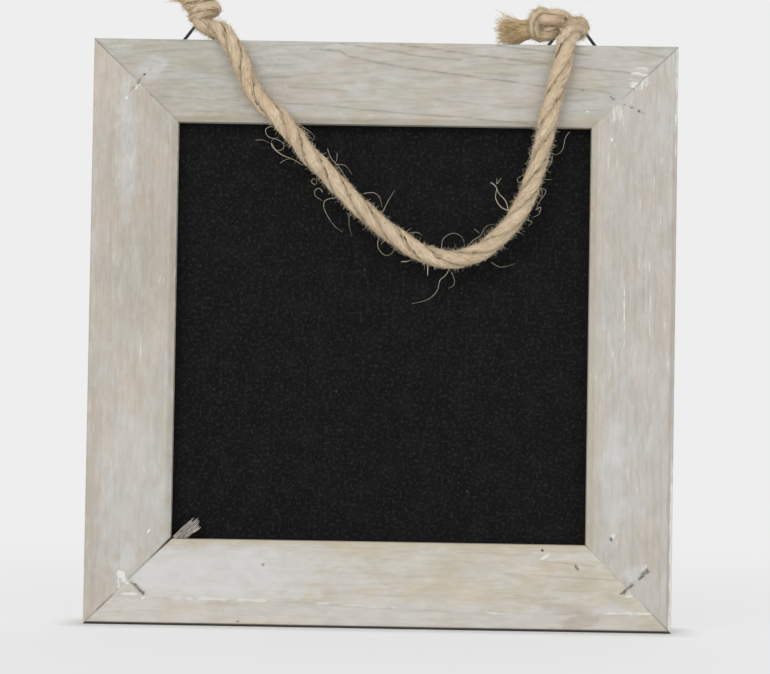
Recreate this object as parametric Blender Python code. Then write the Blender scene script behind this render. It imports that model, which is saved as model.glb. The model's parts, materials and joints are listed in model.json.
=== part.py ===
"""A small hanging chalkboard: a mitred softwood frame, a black panel, two wire rings and a jute rope.

Metres, +Z up. The front faces -Y and +X is to the right. The origin is on the underside of the
bottom rail, in the middle of its length and of the frame's depth.
"""

import math

import bmesh
import bpy
from mathutils import Matrix, Vector

# Frame
FRAME_WIDTH = 0.2
FRAME_HEIGHT = 0.2
FRAME_DEPTH = 0.015
RAIL_WIDTH = 0.0293
TOP_RAIL_WIDTH = 0.0282
BAND_WIDTH = 0.0085
BAND_DROP = 0.0012
OUTER_ROUND = 0.0010
BACK_ROUND = 0.0005
INNER_CHAMFER_WIDTH = 0.0018
INNER_CHAMFER_DEPTH = 0.0012
LIP_DEPTH = 0.006
REBATE_WIDTH = 0.0055
MITRE_GAP = 0.0003
OPEN_MITRE = 0.0007

# Clearances
SEAT_GAP = 0.0003
CUT_OVERRUN = 0.002

# Chalk panel
PANEL_THICKNESS = 0.003
PANEL_SIDE_GAP = 0.0005
PANEL_EDGE_BEVEL = 0.0003

# Staples across the mitres
STAPLE_CROWN = 0.0128
STAPLE_LEG = 0.010
STAPLE_WIRE_WIDTH = 0.00105
STAPLE_WIRE_THICKNESS = 0.0007
STAPLE_BEND = 0.0009
STAPLE_SINK = 0.0005
STAPLE_GAP = 0.00025

# Each staple's middle, in from the frame's side and from its top or bottom, as shares of the widths
# of the two rails that it joins
STAPLE_PLACE_SHARES = {
    "top_left": (0.5734, 0.4858),
    "top_right": (0.5904, 0.7305),
    "bottom_left": (0.5631, 0.4949),
    "bottom_right": (0.4300, 0.5939),
}
STAPLE_SLOPES = {
    "top_left": math.radians(49.6),
    "top_right": math.radians(-27.0),
    "bottom_left": math.radians(-42.2),
    "bottom_right": math.radians(42.8),
}

# Points that hold the panel in its rebate
POINT_WIDTH = 0.006
POINT_THICKNESS = 0.0005
POINT_OVER_PANEL = 0.0045
POINT_IN_WOOD = 0.0050
POINT_TIP = 0.0025
POINT_PITCH = 0.090
POINT_ENDS = {
    "bottom": ("left", "right"),
    "top": ("right", "left"),
    "left": ("upper", "lower"),
    "right": ("lower", "upper"),
}

# Hanger rings and their straps
LEFT_HANGER_INSET = 0.0375
RIGHT_HANGER_INSET = 0.0355
HINGE_BELOW_TOP = 0.0035
RING_WIRE_RADIUS = 0.00055
RING_BASE = 0.0249
RING_HEIGHT = 0.0164
RING_CORNER_ROUND = 0.0025
RING_APEX_ROUND = 0.0062
RING_SPLIT = 0.0006
STRAP_SHEET = 0.0006
STRAP_WIDTH = 0.009
STRAP_LENGTH = 0.014
STRAP_LEAF_GAP = 0.00008
STRAP_TUCK_ANGLE = math.radians(50)
STRAP_TUCK_ROUND = 0.0008
PIVOT_GAP = 0.0003

# Strap screws
SCREW_BELOW_HINGE = 0.0085
SCREW_HEAD_RADIUS = 0.0027
SCREW_HEAD_HEIGHT = 0.0014
SCREW_SHANK_RADIUS = 0.0012
SCREW_LENGTH = 0.010
SCREW_TIP = 0.0025
SCREW_SLOT_WIDTH = 0.0006
SCREW_SLOT_LENGTH = 0.0030
SCREW_SLOT_DEPTH = 0.0006

# Rope
ROPE_RADIUS = 0.003
ROPE_POINT_SPACING = 0.012
EYE_ROPE_RADIUS = 0.0023
EYE_RADIUS = 0.0035
EYE_SHIFT = 0.0022
BEND_POINT_SPACING = 0.0014
KNOT_CORE_RADIUS = 0.0031
KNOT_CORE_LENGTH = 0.0115
KNOT_WRAP_RADIUS = 0.0030
KNOT_WRAP_ROPE_RADIUS = 0.0022
KNOT_WRAP_PITCH = 0.0058
KNOT_STUB_LENGTH = 0.0012
TAIL_RADIUS = 0.0036
LEFT_TAIL_LENGTH = 0.0080
RIGHT_TAIL_LENGTH = 0.0122

# The rope's route over the front, from left to right: how far right of the left ring's middle, how
# far out from the frame's front face to the rope's centre, and how far below the frame's top edge.
# It was chosen for rings this far apart.
ROUTE_RING_PITCH = 0.1270
DRAPE_ROUTE = [
    (0.0088, 0.0024, 0.0004),
    (0.0106, 0.0029, 0.0034),
    (0.0147, 0.0032, 0.0115),
    (0.0189, 0.0035, 0.0197),
    (0.0254, 0.0035, 0.0258),
    (0.0316, 0.0035, 0.0326),
    (0.0372, 0.0036, 0.0398),
    (0.0439, 0.0037, 0.0462),
    (0.0501, 0.0039, 0.0529),
    (0.0569, 0.0041, 0.0591),
    (0.0640, 0.0043, 0.0649),
    (0.0716, 0.0044, 0.0700),
    (0.0800, 0.0046, 0.0737),
    (0.0889, 0.0045, 0.0740),
    (0.0972, 0.0044, 0.0704),
    (0.1040, 0.0043, 0.0643),
    (0.1092, 0.0041, 0.0566),
    (0.1126, 0.0038, 0.0481),
    (0.1152, 0.0036, 0.0393),
    (0.1172, 0.0036, 0.0303),
    (0.1191, 0.0035, 0.0213),
    (0.1213, 0.0033, 0.0123),
    (0.1231, 0.0029, 0.0034),
    (0.1237, 0.0024, 0.0004),
]

# The rope's way from the front arris over the top edge to its ring: right of the ring's middle,
# behind the frame's front face, and above the frame's top edge.
LEFT_OVER_TOP = [
    (0.0067, -0.0010, 0.0026),
    (0.0043, 0.0026, 0.0041),
    (0.0022, 0.0070, 0.0052),
    (0.0014, 0.0116, 0.0055),
]
RIGHT_OVER_TOP = [
    (-0.0023, -0.0012, 0.0028),
    (-0.0010, 0.0024, 0.0044),
    (0.0004, 0.0068, 0.0053),
    (0.0012, 0.0116, 0.0055),
]

# From the eye forward into the knot, and the knot's middle: right of the middle of the eye, behind
# it and above it.
LEFT_INTO_KNOT = [
    (-0.0013, -0.0040, 0.0038),
    (-0.0011, -0.0066, 0.0034),
]
RIGHT_INTO_KNOT = [
    (-0.0022, -0.0040, 0.0036),
    (-0.0056, -0.0069, 0.0020),
]
LEFT_KNOT_CENTRE = (-0.0010, -0.0073, 0.0025)
RIGHT_KNOT_CENTRE = (-0.0098, -0.0083, -0.0004)
LEFT_KNOT_AXIS = (-0.45, 0.05, 0.89)
RIGHT_KNOT_AXIS = (-1.0, 0.0, -0.16)
LEFT_TAIL_AXIS = (-0.72, -0.05, 0.69)
RIGHT_TAIL_AXIS = (-1.0, -0.05, -0.20)
KNOT_WRAP_TILTS = (0.30, -0.42)
TAIL_GROWTH_SHARES = (0.0, 0.35, 0.75, 1.0, 1.0, 0.8)

# Facets and shading
SHARP_ANGLE = math.radians(35)
ARC_STEPS = 4
FILLET_STEPS = 6
TURNED_SIDES = 24
BEND_STEPS_PER_POINT = 12
WRAP_RING_STEPS = 18
WRAP_TUBE_SIDES = 10
WIRE_BEVEL_RESOLUTION = 3
ROPE_BEVEL_RESOLUTION = 4

# Worked out from the sizes above
FRONT_Y = -FRAME_DEPTH / 2
BACK_Y = FRAME_DEPTH / 2
PANEL_FRONT_Y = FRONT_Y + LIP_DEPTH + SEAT_GAP
PANEL_BACK_Y = PANEL_FRONT_Y + PANEL_THICKNESS
STRAP_BACK_Y = BACK_Y + SEAT_GAP
PIVOT_BORE = RING_WIRE_RADIUS + PIVOT_GAP
HINGE_Y = STRAP_BACK_Y + STRAP_SHEET + PIVOT_BORE
HINGE_Z = FRAME_HEIGHT - HINGE_BELOW_TOP
LEFT_RING_X = LEFT_HANGER_INSET - FRAME_WIDTH / 2
RIGHT_RING_X = FRAME_WIDTH / 2 - RIGHT_HANGER_INSET
HALF_APEX = math.atan2(RING_BASE / 2, RING_HEIGHT)
APEX_Z = HINGE_Z + RING_HEIGHT - RING_APEX_ROUND * (1 / math.sin(HALF_APEX) - 1)
STRAP_STACK = 2 * STRAP_SHEET + STRAP_LEAF_GAP


def clear_scene():
    for obj in list(bpy.data.objects):
        bpy.data.objects.remove(obj, do_unlink=True)


def make_material(name, colour, roughness, metallic=0.0):
    material = bpy.data.materials.new(name)
    material.use_nodes = True
    shader = material.node_tree.nodes["Principled BSDF"]
    shader.inputs["Base Color"].default_value = (*colour, 1.0)
    shader.inputs["Roughness"].default_value = roughness
    shader.inputs["Metallic"].default_value = metallic
    material.diffuse_color = (*colour, 1.0)
    return material


def make_materials():
    return {
        "whitewashed_wood": make_material("whitewashed_wood", (0.55, 0.50, 0.42), 0.75),
        "chalk_surface": make_material("chalk_surface", (0.010, 0.010, 0.011), 0.8),
        "staple_steel": make_material("staple_steel", (0.22, 0.22, 0.21), 0.5, 0.9),
        "point_steel": make_material("point_steel", (0.38, 0.38, 0.37), 0.45, 0.9),
        "black_wire": make_material("black_wire", (0.015, 0.015, 0.016), 0.4, 0.6),
        "strap_steel": make_material("strap_steel", (0.05, 0.05, 0.052), 0.45, 0.7),
        "screw_steel": make_material("screw_steel", (0.30, 0.29, 0.27), 0.4, 0.9),
        "jute": make_material("jute", (0.45, 0.33, 0.19), 0.9),
    }


def filleted(points, radii, steps=ARC_STEPS, closed=True):
    """Return the points of a flat outline with each corner replaced by an arc of its radius."""
    count = len(points)
    result = []
    for index, (point, radius) in enumerate(zip(points, radii)):
        corner = Vector(point)
        inner = closed or 0 < index < count - 1
        if radius <= 0 or not inner:
            result.append(corner)
            continue
        to_last = (Vector(points[index - 1]) - corner).normalized()
        to_next = (Vector(points[(index + 1) % count]) - corner).normalized()
        half_angle = to_last.angle(to_next) / 2
        bisector = (to_last + to_next).normalized()
        centre = corner + bisector * (radius / math.sin(half_angle))
        start = corner + to_last * (radius / math.tan(half_angle)) - centre
        end = corner + to_next * (radius / math.tan(half_angle)) - centre
        sweep = math.pi - 2 * half_angle
        for step in range(steps + 1):
            share = step / steps
            mixed = start * math.sin((1 - share) * sweep) + end * math.sin(share * sweep)
            result.append(centre + mixed / math.sin(sweep))
    return result


def ribbon(path, thickness):
    """Return the outline of a strip of even thickness whose middle follows a flat path."""
    left = []
    right = []
    last = len(path) - 1
    for index, point in enumerate(path):
        before = path[max(index - 1, 0)]
        after = path[min(index + 1, last)]
        along_in = (point - before) if index > 0 else (after - point)
        along_out = (after - point) if index < last else (point - before)
        normal_in = Vector((-along_in.y, along_in.x)).normalized()
        normal_out = Vector((-along_out.y, along_out.x)).normalized()
        normal = (normal_in + normal_out).normalized()
        reach = thickness / 2 / normal.dot(normal_in)
        left.append(point + normal * reach)
        right.append(point - normal * reach)
    return left + right[::-1]


def new_object(name, mesh, material=None, parent=None):
    obj = bpy.data.objects.new(name, mesh)
    bpy.context.collection.objects.link(obj)
    if material:
        mesh.materials.append(material)
    if parent:
        obj.parent = parent
    return obj


def mesh_from_bmesh(name, shape):
    bmesh.ops.recalc_face_normals(shape, faces=shape.faces)
    mesh = bpy.data.meshes.new(name)
    shape.to_mesh(mesh)
    shape.free()
    return mesh


def extruded_mesh(name, outline, place, low, high):
    """Return a closed mesh of a flat outline drawn out from low to high.

    The function place takes the outline's two coordinates and the distance along the
    extrusion, and returns the point in the object's own axes.
    """
    shape = bmesh.new()
    ends = []
    for distance in (low, high):
        ends.append([shape.verts.new(place(point[0], point[1], distance)) for point in outline])
    shape.faces.new(ends[0])
    shape.faces.new(ends[1][::-1])
    for index in range(len(outline)):
        follow = (index + 1) % len(outline)
        shape.faces.new((ends[0][index], ends[0][follow], ends[1][follow], ends[1][index]))
    return mesh_from_bmesh(name, shape)


def turned_mesh(name, profile, sides=TURNED_SIDES):
    """Return a closed mesh turned about the Y axis from (radius, y) points, both ends on the axis."""
    shape = bmesh.new()
    first = shape.verts.new((0, profile[0][1], 0))
    last = shape.verts.new((0, profile[-1][1], 0))
    rings = []
    for radius, along in profile[1:-1]:
        ring = []
        for side in range(sides):
            angle = 2 * math.pi * side / sides
            ring.append(shape.verts.new((radius * math.cos(angle), along, radius * math.sin(angle))))
        rings.append(ring)
    for side in range(sides):
        follow = (side + 1) % sides
        shape.faces.new((first, rings[0][side], rings[0][follow]))
        for lower, upper in zip(rings, rings[1:]):
            shape.faces.new((lower[side], upper[side], upper[follow], lower[follow]))
        shape.faces.new((rings[-1][side], last, rings[-1][follow]))
    return mesh_from_bmesh(name, shape)


def boolean(target, tool, operation="DIFFERENCE"):
    tool.hide_render = True
    tool.display_type = "WIRE"
    modifier = target.modifiers.new(f"{operation.lower()}_{tool.name}", "BOOLEAN")
    modifier.operation = operation
    modifier.solver = "EXACT"
    modifier.use_self = operation == "UNION"
    modifier.object = tool


def smooth_route(points, spacing):
    """Return evenly spaced points of the centripetal Catmull-Rom curve through the given points."""
    knots = [Vector(point) for point in points]
    padded = [2 * knots[0] - knots[1], *knots, 2 * knots[-1] - knots[-2]]
    dense = []
    for index in range(1, len(padded) - 2):
        quad = padded[index - 1 : index + 3]
        times = [0.0]
        for before, after in zip(quad, quad[1:]):
            times.append(times[-1] + math.sqrt((after - before).length))
        for step in range(BEND_STEPS_PER_POINT):
            moment = times[1] + (times[2] - times[1]) * step / BEND_STEPS_PER_POINT
            level = quad
            for depth in (1, 2, 3):
                level = [
                    level[i].lerp(level[i + 1], (moment - times[i]) / (times[i + depth] - times[i]))
                    for i in range(len(level) - 1)
                ]
            dense.append(level[0])
    dense.append(knots[-1])
    lengths = [0.0]
    for before, after in zip(dense, dense[1:]):
        lengths.append(lengths[-1] + (after - before).length)
    count = max(2, round(lengths[-1] / spacing) + 1)
    result = []
    at = 0
    for index in range(count):
        goal = lengths[-1] * index / (count - 1)
        while at < len(lengths) - 2 and lengths[at + 1] < goal:
            at += 1
        share = (goal - lengths[at]) / (lengths[at + 1] - lengths[at])
        result.append(dense[at].lerp(dense[at + 1], share))
    return result


def tube(name, points, radii, resolution, material=None, parent=None, origin=None):
    """Return a curve object: a round tube along the points, with a radius for each and filled caps."""
    start = origin or Vector((0, 0, 0))
    curve = bpy.data.curves.new(name, "CURVE")
    curve.dimensions = "3D"
    curve.bevel_depth = max(radii)
    curve.bevel_resolution = resolution
    curve.use_fill_caps = True
    spline = curve.splines.new("POLY")
    spline.points.add(len(points) - 1)
    for slot, point, radius in zip(spline.points, points, radii):
        slot.co = (*(point - start), 1.0)
        slot.radius = radius / curve.bevel_depth
    obj = new_object(name, curve, material, parent)
    obj.location = start
    return obj


def meshed(obj):
    """Replace a curve object by a mesh object of the same name and shape."""
    name = obj.name
    depsgraph = bpy.context.evaluated_depsgraph_get()
    mesh = bpy.data.meshes.new_from_object(obj.evaluated_get(depsgraph))
    bpy.data.objects.remove(obj, do_unlink=True)
    return new_object(name, mesh)


def empty(name, location):
    obj = bpy.data.objects.new(name, None)
    obj.location = location
    bpy.context.collection.objects.link(obj)
    return obj


def rail_width(side):
    return TOP_RAIL_WIDTH if side == "top" else RAIL_WIDTH


def rail_profile(width):
    """Return a rail's cross-section as (inward from the outer edge, y) points."""
    inner_back = width - REBATE_WIDTH
    corners = [
        (0, BACK_Y),
        (0, FRONT_Y + BAND_DROP),
        (BAND_WIDTH, FRONT_Y),
        (width - INNER_CHAMFER_WIDTH, FRONT_Y),
        (width, FRONT_Y + INNER_CHAMFER_DEPTH),
        (width, FRONT_Y + LIP_DEPTH),
        (inner_back, FRONT_Y + LIP_DEPTH),
        (inner_back, BACK_Y),
    ]
    radii = [BACK_ROUND, OUTER_ROUND, 0, 0, 0, 0, 0, 0]
    return filleted(corners, radii)


def rail_matrix(side):
    """Return the place of a rail drawn along +X with its outer edge at z = 0."""
    places = {
        "bottom": ((0, 0, 0), 0),
        "top": ((0, 0, FRAME_HEIGHT), math.pi),
        "left": ((-FRAME_WIDTH / 2, 0, FRAME_HEIGHT / 2), math.pi / 2),
        "right": ((FRAME_WIDTH / 2, 0, FRAME_HEIGHT / 2), -math.pi / 2),
    }
    location, angle = places[side]
    return Matrix.Translation(location) @ Matrix.Rotation(angle, 4, "Y")


def rail_length(side):
    return FRAME_WIDTH if side in ("bottom", "top") else FRAME_HEIGHT


def make_rail(name, side, neighbours, material, open_start=0.0):
    """Make one rail, mitred to the neighbours at its start and its end.

    open_start widens the joint at the inner corner of its start.
    """
    half = rail_length(side) / 2
    width = rail_width(side)
    end_trim = MITRE_GAP / math.sqrt(2)
    start_lean, end_lean = [rail_width(neighbour) / width for neighbour in neighbours]

    def place(inward, across, end):
        lean = start_lean if end < 0 else end_lean
        trim = end_trim + (open_start * inward / width if end < 0 else 0)
        return (end * (half - inward * lean - trim), across, inward)

    mesh = extruded_mesh(name, rail_profile(width), place, -1, 1)
    rail = new_object(name, mesh, material)
    rail.matrix_world = rail_matrix(side)
    return rail


def staple_places():
    """Return each staple's middle and its slope in the frame's face, by corner."""
    half = FRAME_WIDTH / 2
    result = {}
    for corner, (side_share, end_share) in STAPLE_PLACE_SHARES.items():
        from_side = side_share * RAIL_WIDTH
        from_end = end_share * (TOP_RAIL_WIDTH if "top" in corner else RAIL_WIDTH)
        x = half - from_side if "right" in corner else from_side - half
        z = FRAME_HEIGHT - from_end if "top" in corner else from_end
        result[corner] = (Vector((x, FRONT_Y + STAPLE_SINK, z)), STAPLE_SLOPES[corner])
    return result


def make_staple(corner, location, turn, material):
    """Make one staple: a flat wire bent square at both ends, its legs driven into the wood."""
    half = (STAPLE_CROWN - STAPLE_WIRE_THICKNESS) / 2
    middle = STAPLE_WIRE_THICKNESS / 2
    corners = [(-half, STAPLE_LEG), (-half, middle), (half, middle), (half, STAPLE_LEG)]
    bend = STAPLE_BEND - STAPLE_WIRE_THICKNESS / 2
    path = filleted(corners, [0, bend, bend, 0], closed=False)
    outline = ribbon(path, STAPLE_WIRE_THICKNESS)
    width = STAPLE_WIRE_WIDTH / 2
    mesh = extruded_mesh(f"staple_{corner}", outline, lambda a, b, c: (a, b, c), -width, width)
    staple = new_object(f"staple_{corner}", mesh, material)
    staple.location = location
    staple.rotation_euler = (0, -turn, 0)


def make_staple_cutter(corner, location, turn):
    """Make the shape of a staple's slot: the staple grown by its gap and open at the face."""
    outer = STAPLE_CROWN / 2 + STAPLE_GAP
    inner = STAPLE_CROWN / 2 - STAPLE_WIRE_THICKNESS - STAPLE_GAP
    floor = STAPLE_WIRE_THICKNESS + STAPLE_GAP
    deep = STAPLE_LEG + STAPLE_GAP
    top = -STAPLE_SINK - CUT_OVERRUN
    outline = [
        (-outer, top),
        (outer, top),
        (outer, deep),
        (inner, deep),
        (inner, floor),
        (-inner, floor),
        (-inner, deep),
        (-outer, deep),
    ]
    width = STAPLE_WIRE_WIDTH / 2 + STAPLE_GAP
    mesh = extruded_mesh(f"slot_{corner}", outline, lambda a, b, c: (a, b, c), -width, width)
    cutter = new_object(f"slot_{corner}", mesh)
    cutter.location = location
    cutter.rotation_euler = (0, -turn, 0)
    return cutter


def make_panel(material):
    """Make the chalk panel, which lies in the rebate behind the rails' lip."""
    bottom = RAIL_WIDTH - REBATE_WIDTH + PANEL_SIDE_GAP
    top = FRAME_HEIGHT - (TOP_RAIL_WIDTH - REBATE_WIDTH + PANEL_SIDE_GAP)
    half = FRAME_WIDTH / 2 - bottom
    outline = [(-half, bottom), (half, bottom), (half, top), (-half, top)]
    mesh = extruded_mesh(
        "chalkboard_panel", outline, lambda a, b, c: (a, c, b), PANEL_FRONT_Y, PANEL_BACK_Y
    )
    panel = new_object("chalkboard_panel", mesh, material)
    bevel = panel.modifiers.new("eased_edges", "BEVEL")
    bevel.width = PANEL_EDGE_BEVEL
    bevel.segments = 1
    return panel


def point_outline(grow=0.0):
    """Return a panel point's outline as (along the rail, out from the rebate's wall) points."""
    half = POINT_WIDTH / 2 + grow
    tip = POINT_IN_WOOD + grow
    return [
        (-half, POINT_OVER_PANEL + grow),
        (-half, POINT_TIP - POINT_IN_WOOD),
        (0, -tip),
        (half, POINT_TIP - POINT_IN_WOOD),
        (half, POINT_OVER_PANEL + grow),
    ]


def make_panel_point(name, rail, side, along, material):
    """Make one flat point behind the panel and cut its slot in the rail's rebate wall."""
    wall = rail_width(side) - REBATE_WIDTH
    low = PANEL_BACK_Y + SEAT_GAP
    high = low + POINT_THICKNESS

    def place(across, out, depth):
        return (along + across, depth, wall + out)

    point = new_object(name, extruded_mesh(name, point_outline(), place, low, high), material)
    point.matrix_world = rail_matrix(side)
    slot_name = f"{name}_slot"
    slot_mesh = extruded_mesh(slot_name, point_outline(SEAT_GAP), place, low - SEAT_GAP, high + SEAT_GAP)
    slot = new_object(slot_name, slot_mesh)
    slot.matrix_world = rail_matrix(side)
    boolean(rail, slot)


def strap_path():
    """Return the middle of the strap's sheet as (y, z) points about the pivot.

    The strip runs up against the rail, over the pivot, back down to the tuck and along the front leaf.
    """
    bend = PIVOT_BORE + STRAP_SHEET / 2
    front = STRAP_BACK_Y + STRAP_SHEET / 2 - HINGE_Y
    back = front + STRAP_SHEET + STRAP_LEAF_GAP
    sweep = math.pi + STRAP_TUCK_ANGLE
    steps = FILLET_STEPS * 2
    path = [Vector((front, -STRAP_LENGTH))]
    for step in range(steps + 1):
        angle = math.pi - sweep * step / steps
        path.append(Vector((bend * math.cos(angle), bend * math.sin(angle))))
    run = (path[-1].x - back) / math.sin(STRAP_TUCK_ANGLE)
    path.append(Vector((back, path[-1].y - run * math.cos(STRAP_TUCK_ANGLE))))
    path.append(Vector((back, -STRAP_LENGTH)))
    radii = [0.0] * len(path)
    radii[-2] = STRAP_TUCK_ROUND
    return filleted(path, radii, closed=False)


def screw_profile():
    """Return half of a pan-head screw as (radius, y) points from its tip to the top of its head."""
    points = [
        (0, -SCREW_LENGTH),
        (SCREW_SHANK_RADIUS, SCREW_TIP - SCREW_LENGTH),
        (SCREW_SHANK_RADIUS, 0),
        (SCREW_HEAD_RADIUS, 0),
    ]
    rim = SCREW_HEAD_HEIGHT / 2
    for step in range(ARC_STEPS):
        angle = math.pi / 2 * step / ARC_STEPS
        reach = SCREW_HEAD_RADIUS * math.cos(angle)
        points.append((reach, rim + (SCREW_HEAD_HEIGHT - rim) * math.sin(angle)))
    points.append((0, SCREW_HEAD_HEIGHT))
    return points


def box_mesh(name, low, high):
    outline = [(low[0], low[2]), (high[0], low[2]), (high[0], high[2]), (low[0], high[2])]
    return extruded_mesh(name, outline, lambda a, b, c: (a, c, b), low[1], high[1])


def make_screw(side, location, material):
    """Make a strap's screw with a cross recess in its head."""
    name = f"{side}_hanger_screw"
    mesh = turned_mesh(name, screw_profile())
    mesh.shade_smooth()
    mesh.set_sharp_from_angle(angle=SHARP_ANGLE)
    screw = new_object(name, mesh, material)
    screw.location = location
    floor = SCREW_HEAD_HEIGHT - SCREW_SLOT_DEPTH
    over = SCREW_HEAD_HEIGHT + CUT_OVERRUN
    long = SCREW_SLOT_LENGTH / 2
    short = SCREW_SLOT_WIDTH / 2
    for label, half_x, half_z in (("flat", long, short), ("upright", short, long)):
        slot_name = f"{name}_{label}"
        slot = new_object(slot_name, box_mesh(slot_name, (-half_x, floor, -half_z), (half_x, over, half_z)))
        slot.location = location
        boolean(screw, slot)


def make_strap(side, ring_x, material):
    """Make the folded strap: one strip bent round the ring's base bar, both leaves down the rail."""
    name = f"{side}_hanger_strap"
    half = STRAP_WIDTH / 2
    outline = ribbon(strap_path(), STRAP_SHEET)
    mesh = extruded_mesh(name, outline, lambda a, b, c: (c, a, b), -half, half)
    strap = new_object(name, mesh, material)
    strap.location = (ring_x, HINGE_Y, HINGE_Z)
    return strap


def make_screw_hole(name, location, radius, length):
    mesh = turned_mesh(name, [(0, -length), (radius, -length), (radius, CUT_OVERRUN), (0, CUT_OVERRUN)])
    hole = new_object(name, mesh)
    hole.location = location
    return hole


def ring_points():
    """Return the ring's wire about its base bar: split in the middle of the bar, round corners."""
    half = RING_BASE / 2
    corners = [
        (RING_SPLIT / 2, 0),
        (half, 0),
        (0, RING_HEIGHT),
        (-half, 0),
        (-RING_SPLIT / 2, 0),
    ]
    radii = [0, RING_CORNER_ROUND, RING_APEX_ROUND, RING_CORNER_ROUND, 0]
    flat = filleted(corners, radii, steps=FILLET_STEPS, closed=False)
    return [Vector((point.x, 0, point.y)) for point in flat]


def make_ring(side, ring_x, material):
    """Make one wire triangle with its origin on its hinge, the middle of the base bar."""
    pivot = Vector((ring_x, HINGE_Y, HINGE_Z))
    points = [point + pivot for point in ring_points()]
    radii = [RING_WIRE_RADIUS] * len(points)
    return tube(f"{side}_hanger_ring", points, radii, WIRE_BEVEL_RESOLUTION, material, origin=pivot)


def make_hanger(side, ring_x, top_rail, materials):
    """Make one ring with its strap and screw, and drill the strap and the rail for the screw."""
    strap = make_strap(side, ring_x, materials["strap_steel"])
    seat_y = STRAP_BACK_Y + STRAP_STACK + SEAT_GAP
    seat = Vector((ring_x, seat_y, HINGE_Z - SCREW_BELOW_HINGE))
    make_screw(side, seat, materials["screw_steel"])
    hole = make_screw_hole(
        f"{side}_screw_hole", seat, SCREW_SHANK_RADIUS + SEAT_GAP, SCREW_LENGTH + SEAT_GAP
    )
    boolean(strap, hole)
    boolean(top_rail, hole)
    make_ring(side, ring_x, materials["black_wire"])


def drape_points():
    """Return the rope's route over the front as points in the frame's axes."""
    stretch = (RIGHT_RING_X - LEFT_RING_X) / ROUTE_RING_PITCH
    points = []
    for right, out, below in DRAPE_ROUTE:
        points.append(Vector((LEFT_RING_X + right * stretch, FRONT_Y - out, FRAME_HEIGHT - below)))
    return points


def over_top_point(ring_x, offset):
    right, behind, above = offset
    return Vector((ring_x + right, FRONT_Y + behind, FRAME_HEIGHT + above))


def eye_arc(ring_x):
    """Return the half turn behind the ring: under its apex, up behind it and over the top."""
    points = []
    steps = 2 * FILLET_STEPS
    for step in range(steps + 1):
        share = step / steps
        angle = math.pi * (share - 0.5)
        shift = EYE_SHIFT * (0.5 - share)
        y = HINGE_Y + EYE_RADIUS * math.cos(angle)
        z = APEX_Z + EYE_RADIUS * math.sin(angle)
        points.append(Vector((ring_x + shift, y, z)))
    return points


def knot_matrix(centre, axis):
    """Return a matrix whose X axis runs along the knot."""
    turn = Vector((1, 0, 0)).rotation_difference(Vector(axis).normalized())
    return Matrix.Translation(centre) @ turn.to_matrix().to_4x4()


def make_knot_core(name, matrix):
    """Make the knot's core, a capsule along its axis."""
    half = KNOT_CORE_LENGTH / 2
    straight = half - KNOT_CORE_RADIUS
    cap = []
    for step in range(FILLET_STEPS + 1):
        angle = math.pi / 2 * step / FILLET_STEPS
        cap.append((KNOT_CORE_RADIUS * math.sin(angle), straight + KNOT_CORE_RADIUS * math.cos(angle)))
    profile = [(reach, -along) for reach, along in cap] + cap[::-1]
    core = new_object(f"{name}_core", turned_mesh(f"{name}_core", profile, TURNED_SIDES // 2))
    core.matrix_world = matrix @ Matrix.Rotation(-math.pi / 2, 4, "Z")
    return core


def make_knot_wrap(name, matrix, place, tilt):
    """Make one turn of rope round the core: a closed ring of round section."""
    shape = bmesh.new()
    rings = []
    for step in range(WRAP_RING_STEPS):
        around = 2 * math.pi * step / WRAP_RING_STEPS
        outward = Vector((0, math.cos(around), math.sin(around)))
        middle = outward * KNOT_WRAP_RADIUS
        ring = []
        for side in range(WRAP_TUBE_SIDES):
            angle = 2 * math.pi * side / WRAP_TUBE_SIDES
            reach = outward * math.cos(angle) + Vector((math.sin(angle), 0, 0))
            ring.append(shape.verts.new(middle + reach * KNOT_WRAP_ROPE_RADIUS))
        rings.append(ring)
    for step, ring in enumerate(rings):
        follow = rings[(step + 1) % WRAP_RING_STEPS]
        for side in range(WRAP_TUBE_SIDES):
            after = (side + 1) % WRAP_TUBE_SIDES
            shape.faces.new((ring[side], ring[after], follow[after], follow[side]))
    wrap = new_object(name, mesh_from_bmesh(name, shape))
    wrap.matrix_world = matrix @ Matrix.Translation((place, 0, 0)) @ Matrix.Rotation(tilt, 4, "Y")
    return wrap


def make_knot(side, ring_x, lead, into_knot, centre, axis, tail_axis, swing, material):
    """Make a rope end: over the top edge, round the ring's apex and into its knot, then the tail."""
    name = f"{side}_knot"
    apex = Vector((ring_x, HINGE_Y, APEX_Z))
    middle = apex + Vector(centre)
    into_points = [apex + Vector(offset) for offset in into_knot]
    route = [*lead, *eye_arc(ring_x), *into_points, middle]
    points = smooth_route(route, BEND_POINT_SPACING)
    far = (points[0] - apex).length
    radii = []
    for point in points:
        share = min(1.0, max(0.0, ((point - apex).length - EYE_RADIUS) / (far - EYE_RADIUS)))
        radii.append(EYE_ROPE_RADIUS + (ROPE_RADIUS - EYE_ROPE_RADIUS) * share)
    knot = meshed(tube(name, points, radii, ROPE_BEVEL_RESOLUTION, material))
    knot.parent = swing
    knot.matrix_parent_inverse = swing.matrix_world.inverted()
    matrix = knot_matrix(middle, axis)
    boolean(knot, make_knot_core(name, matrix), "UNION")
    for index, tilt in enumerate(KNOT_WRAP_TILTS):
        place = KNOT_WRAP_PITCH * (0.5 - index)
        boolean(knot, make_knot_wrap(f"{name}_wrap_{index}", matrix, place, tilt), "UNION")
    along = Vector(tail_axis).normalized()
    reach = KNOT_CORE_LENGTH / 2 + KNOT_STUB_LENGTH
    stub_end = middle + along * reach
    stub_radii = [EYE_ROPE_RADIUS, EYE_ROPE_RADIUS]
    stub = meshed(tube(f"{name}_stub", [middle, stub_end], stub_radii, ROPE_BEVEL_RESOLUTION))
    boolean(knot, stub, "UNION")
    make_tail(side, stub_end + along * SEAT_GAP, along, swing, material)


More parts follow.
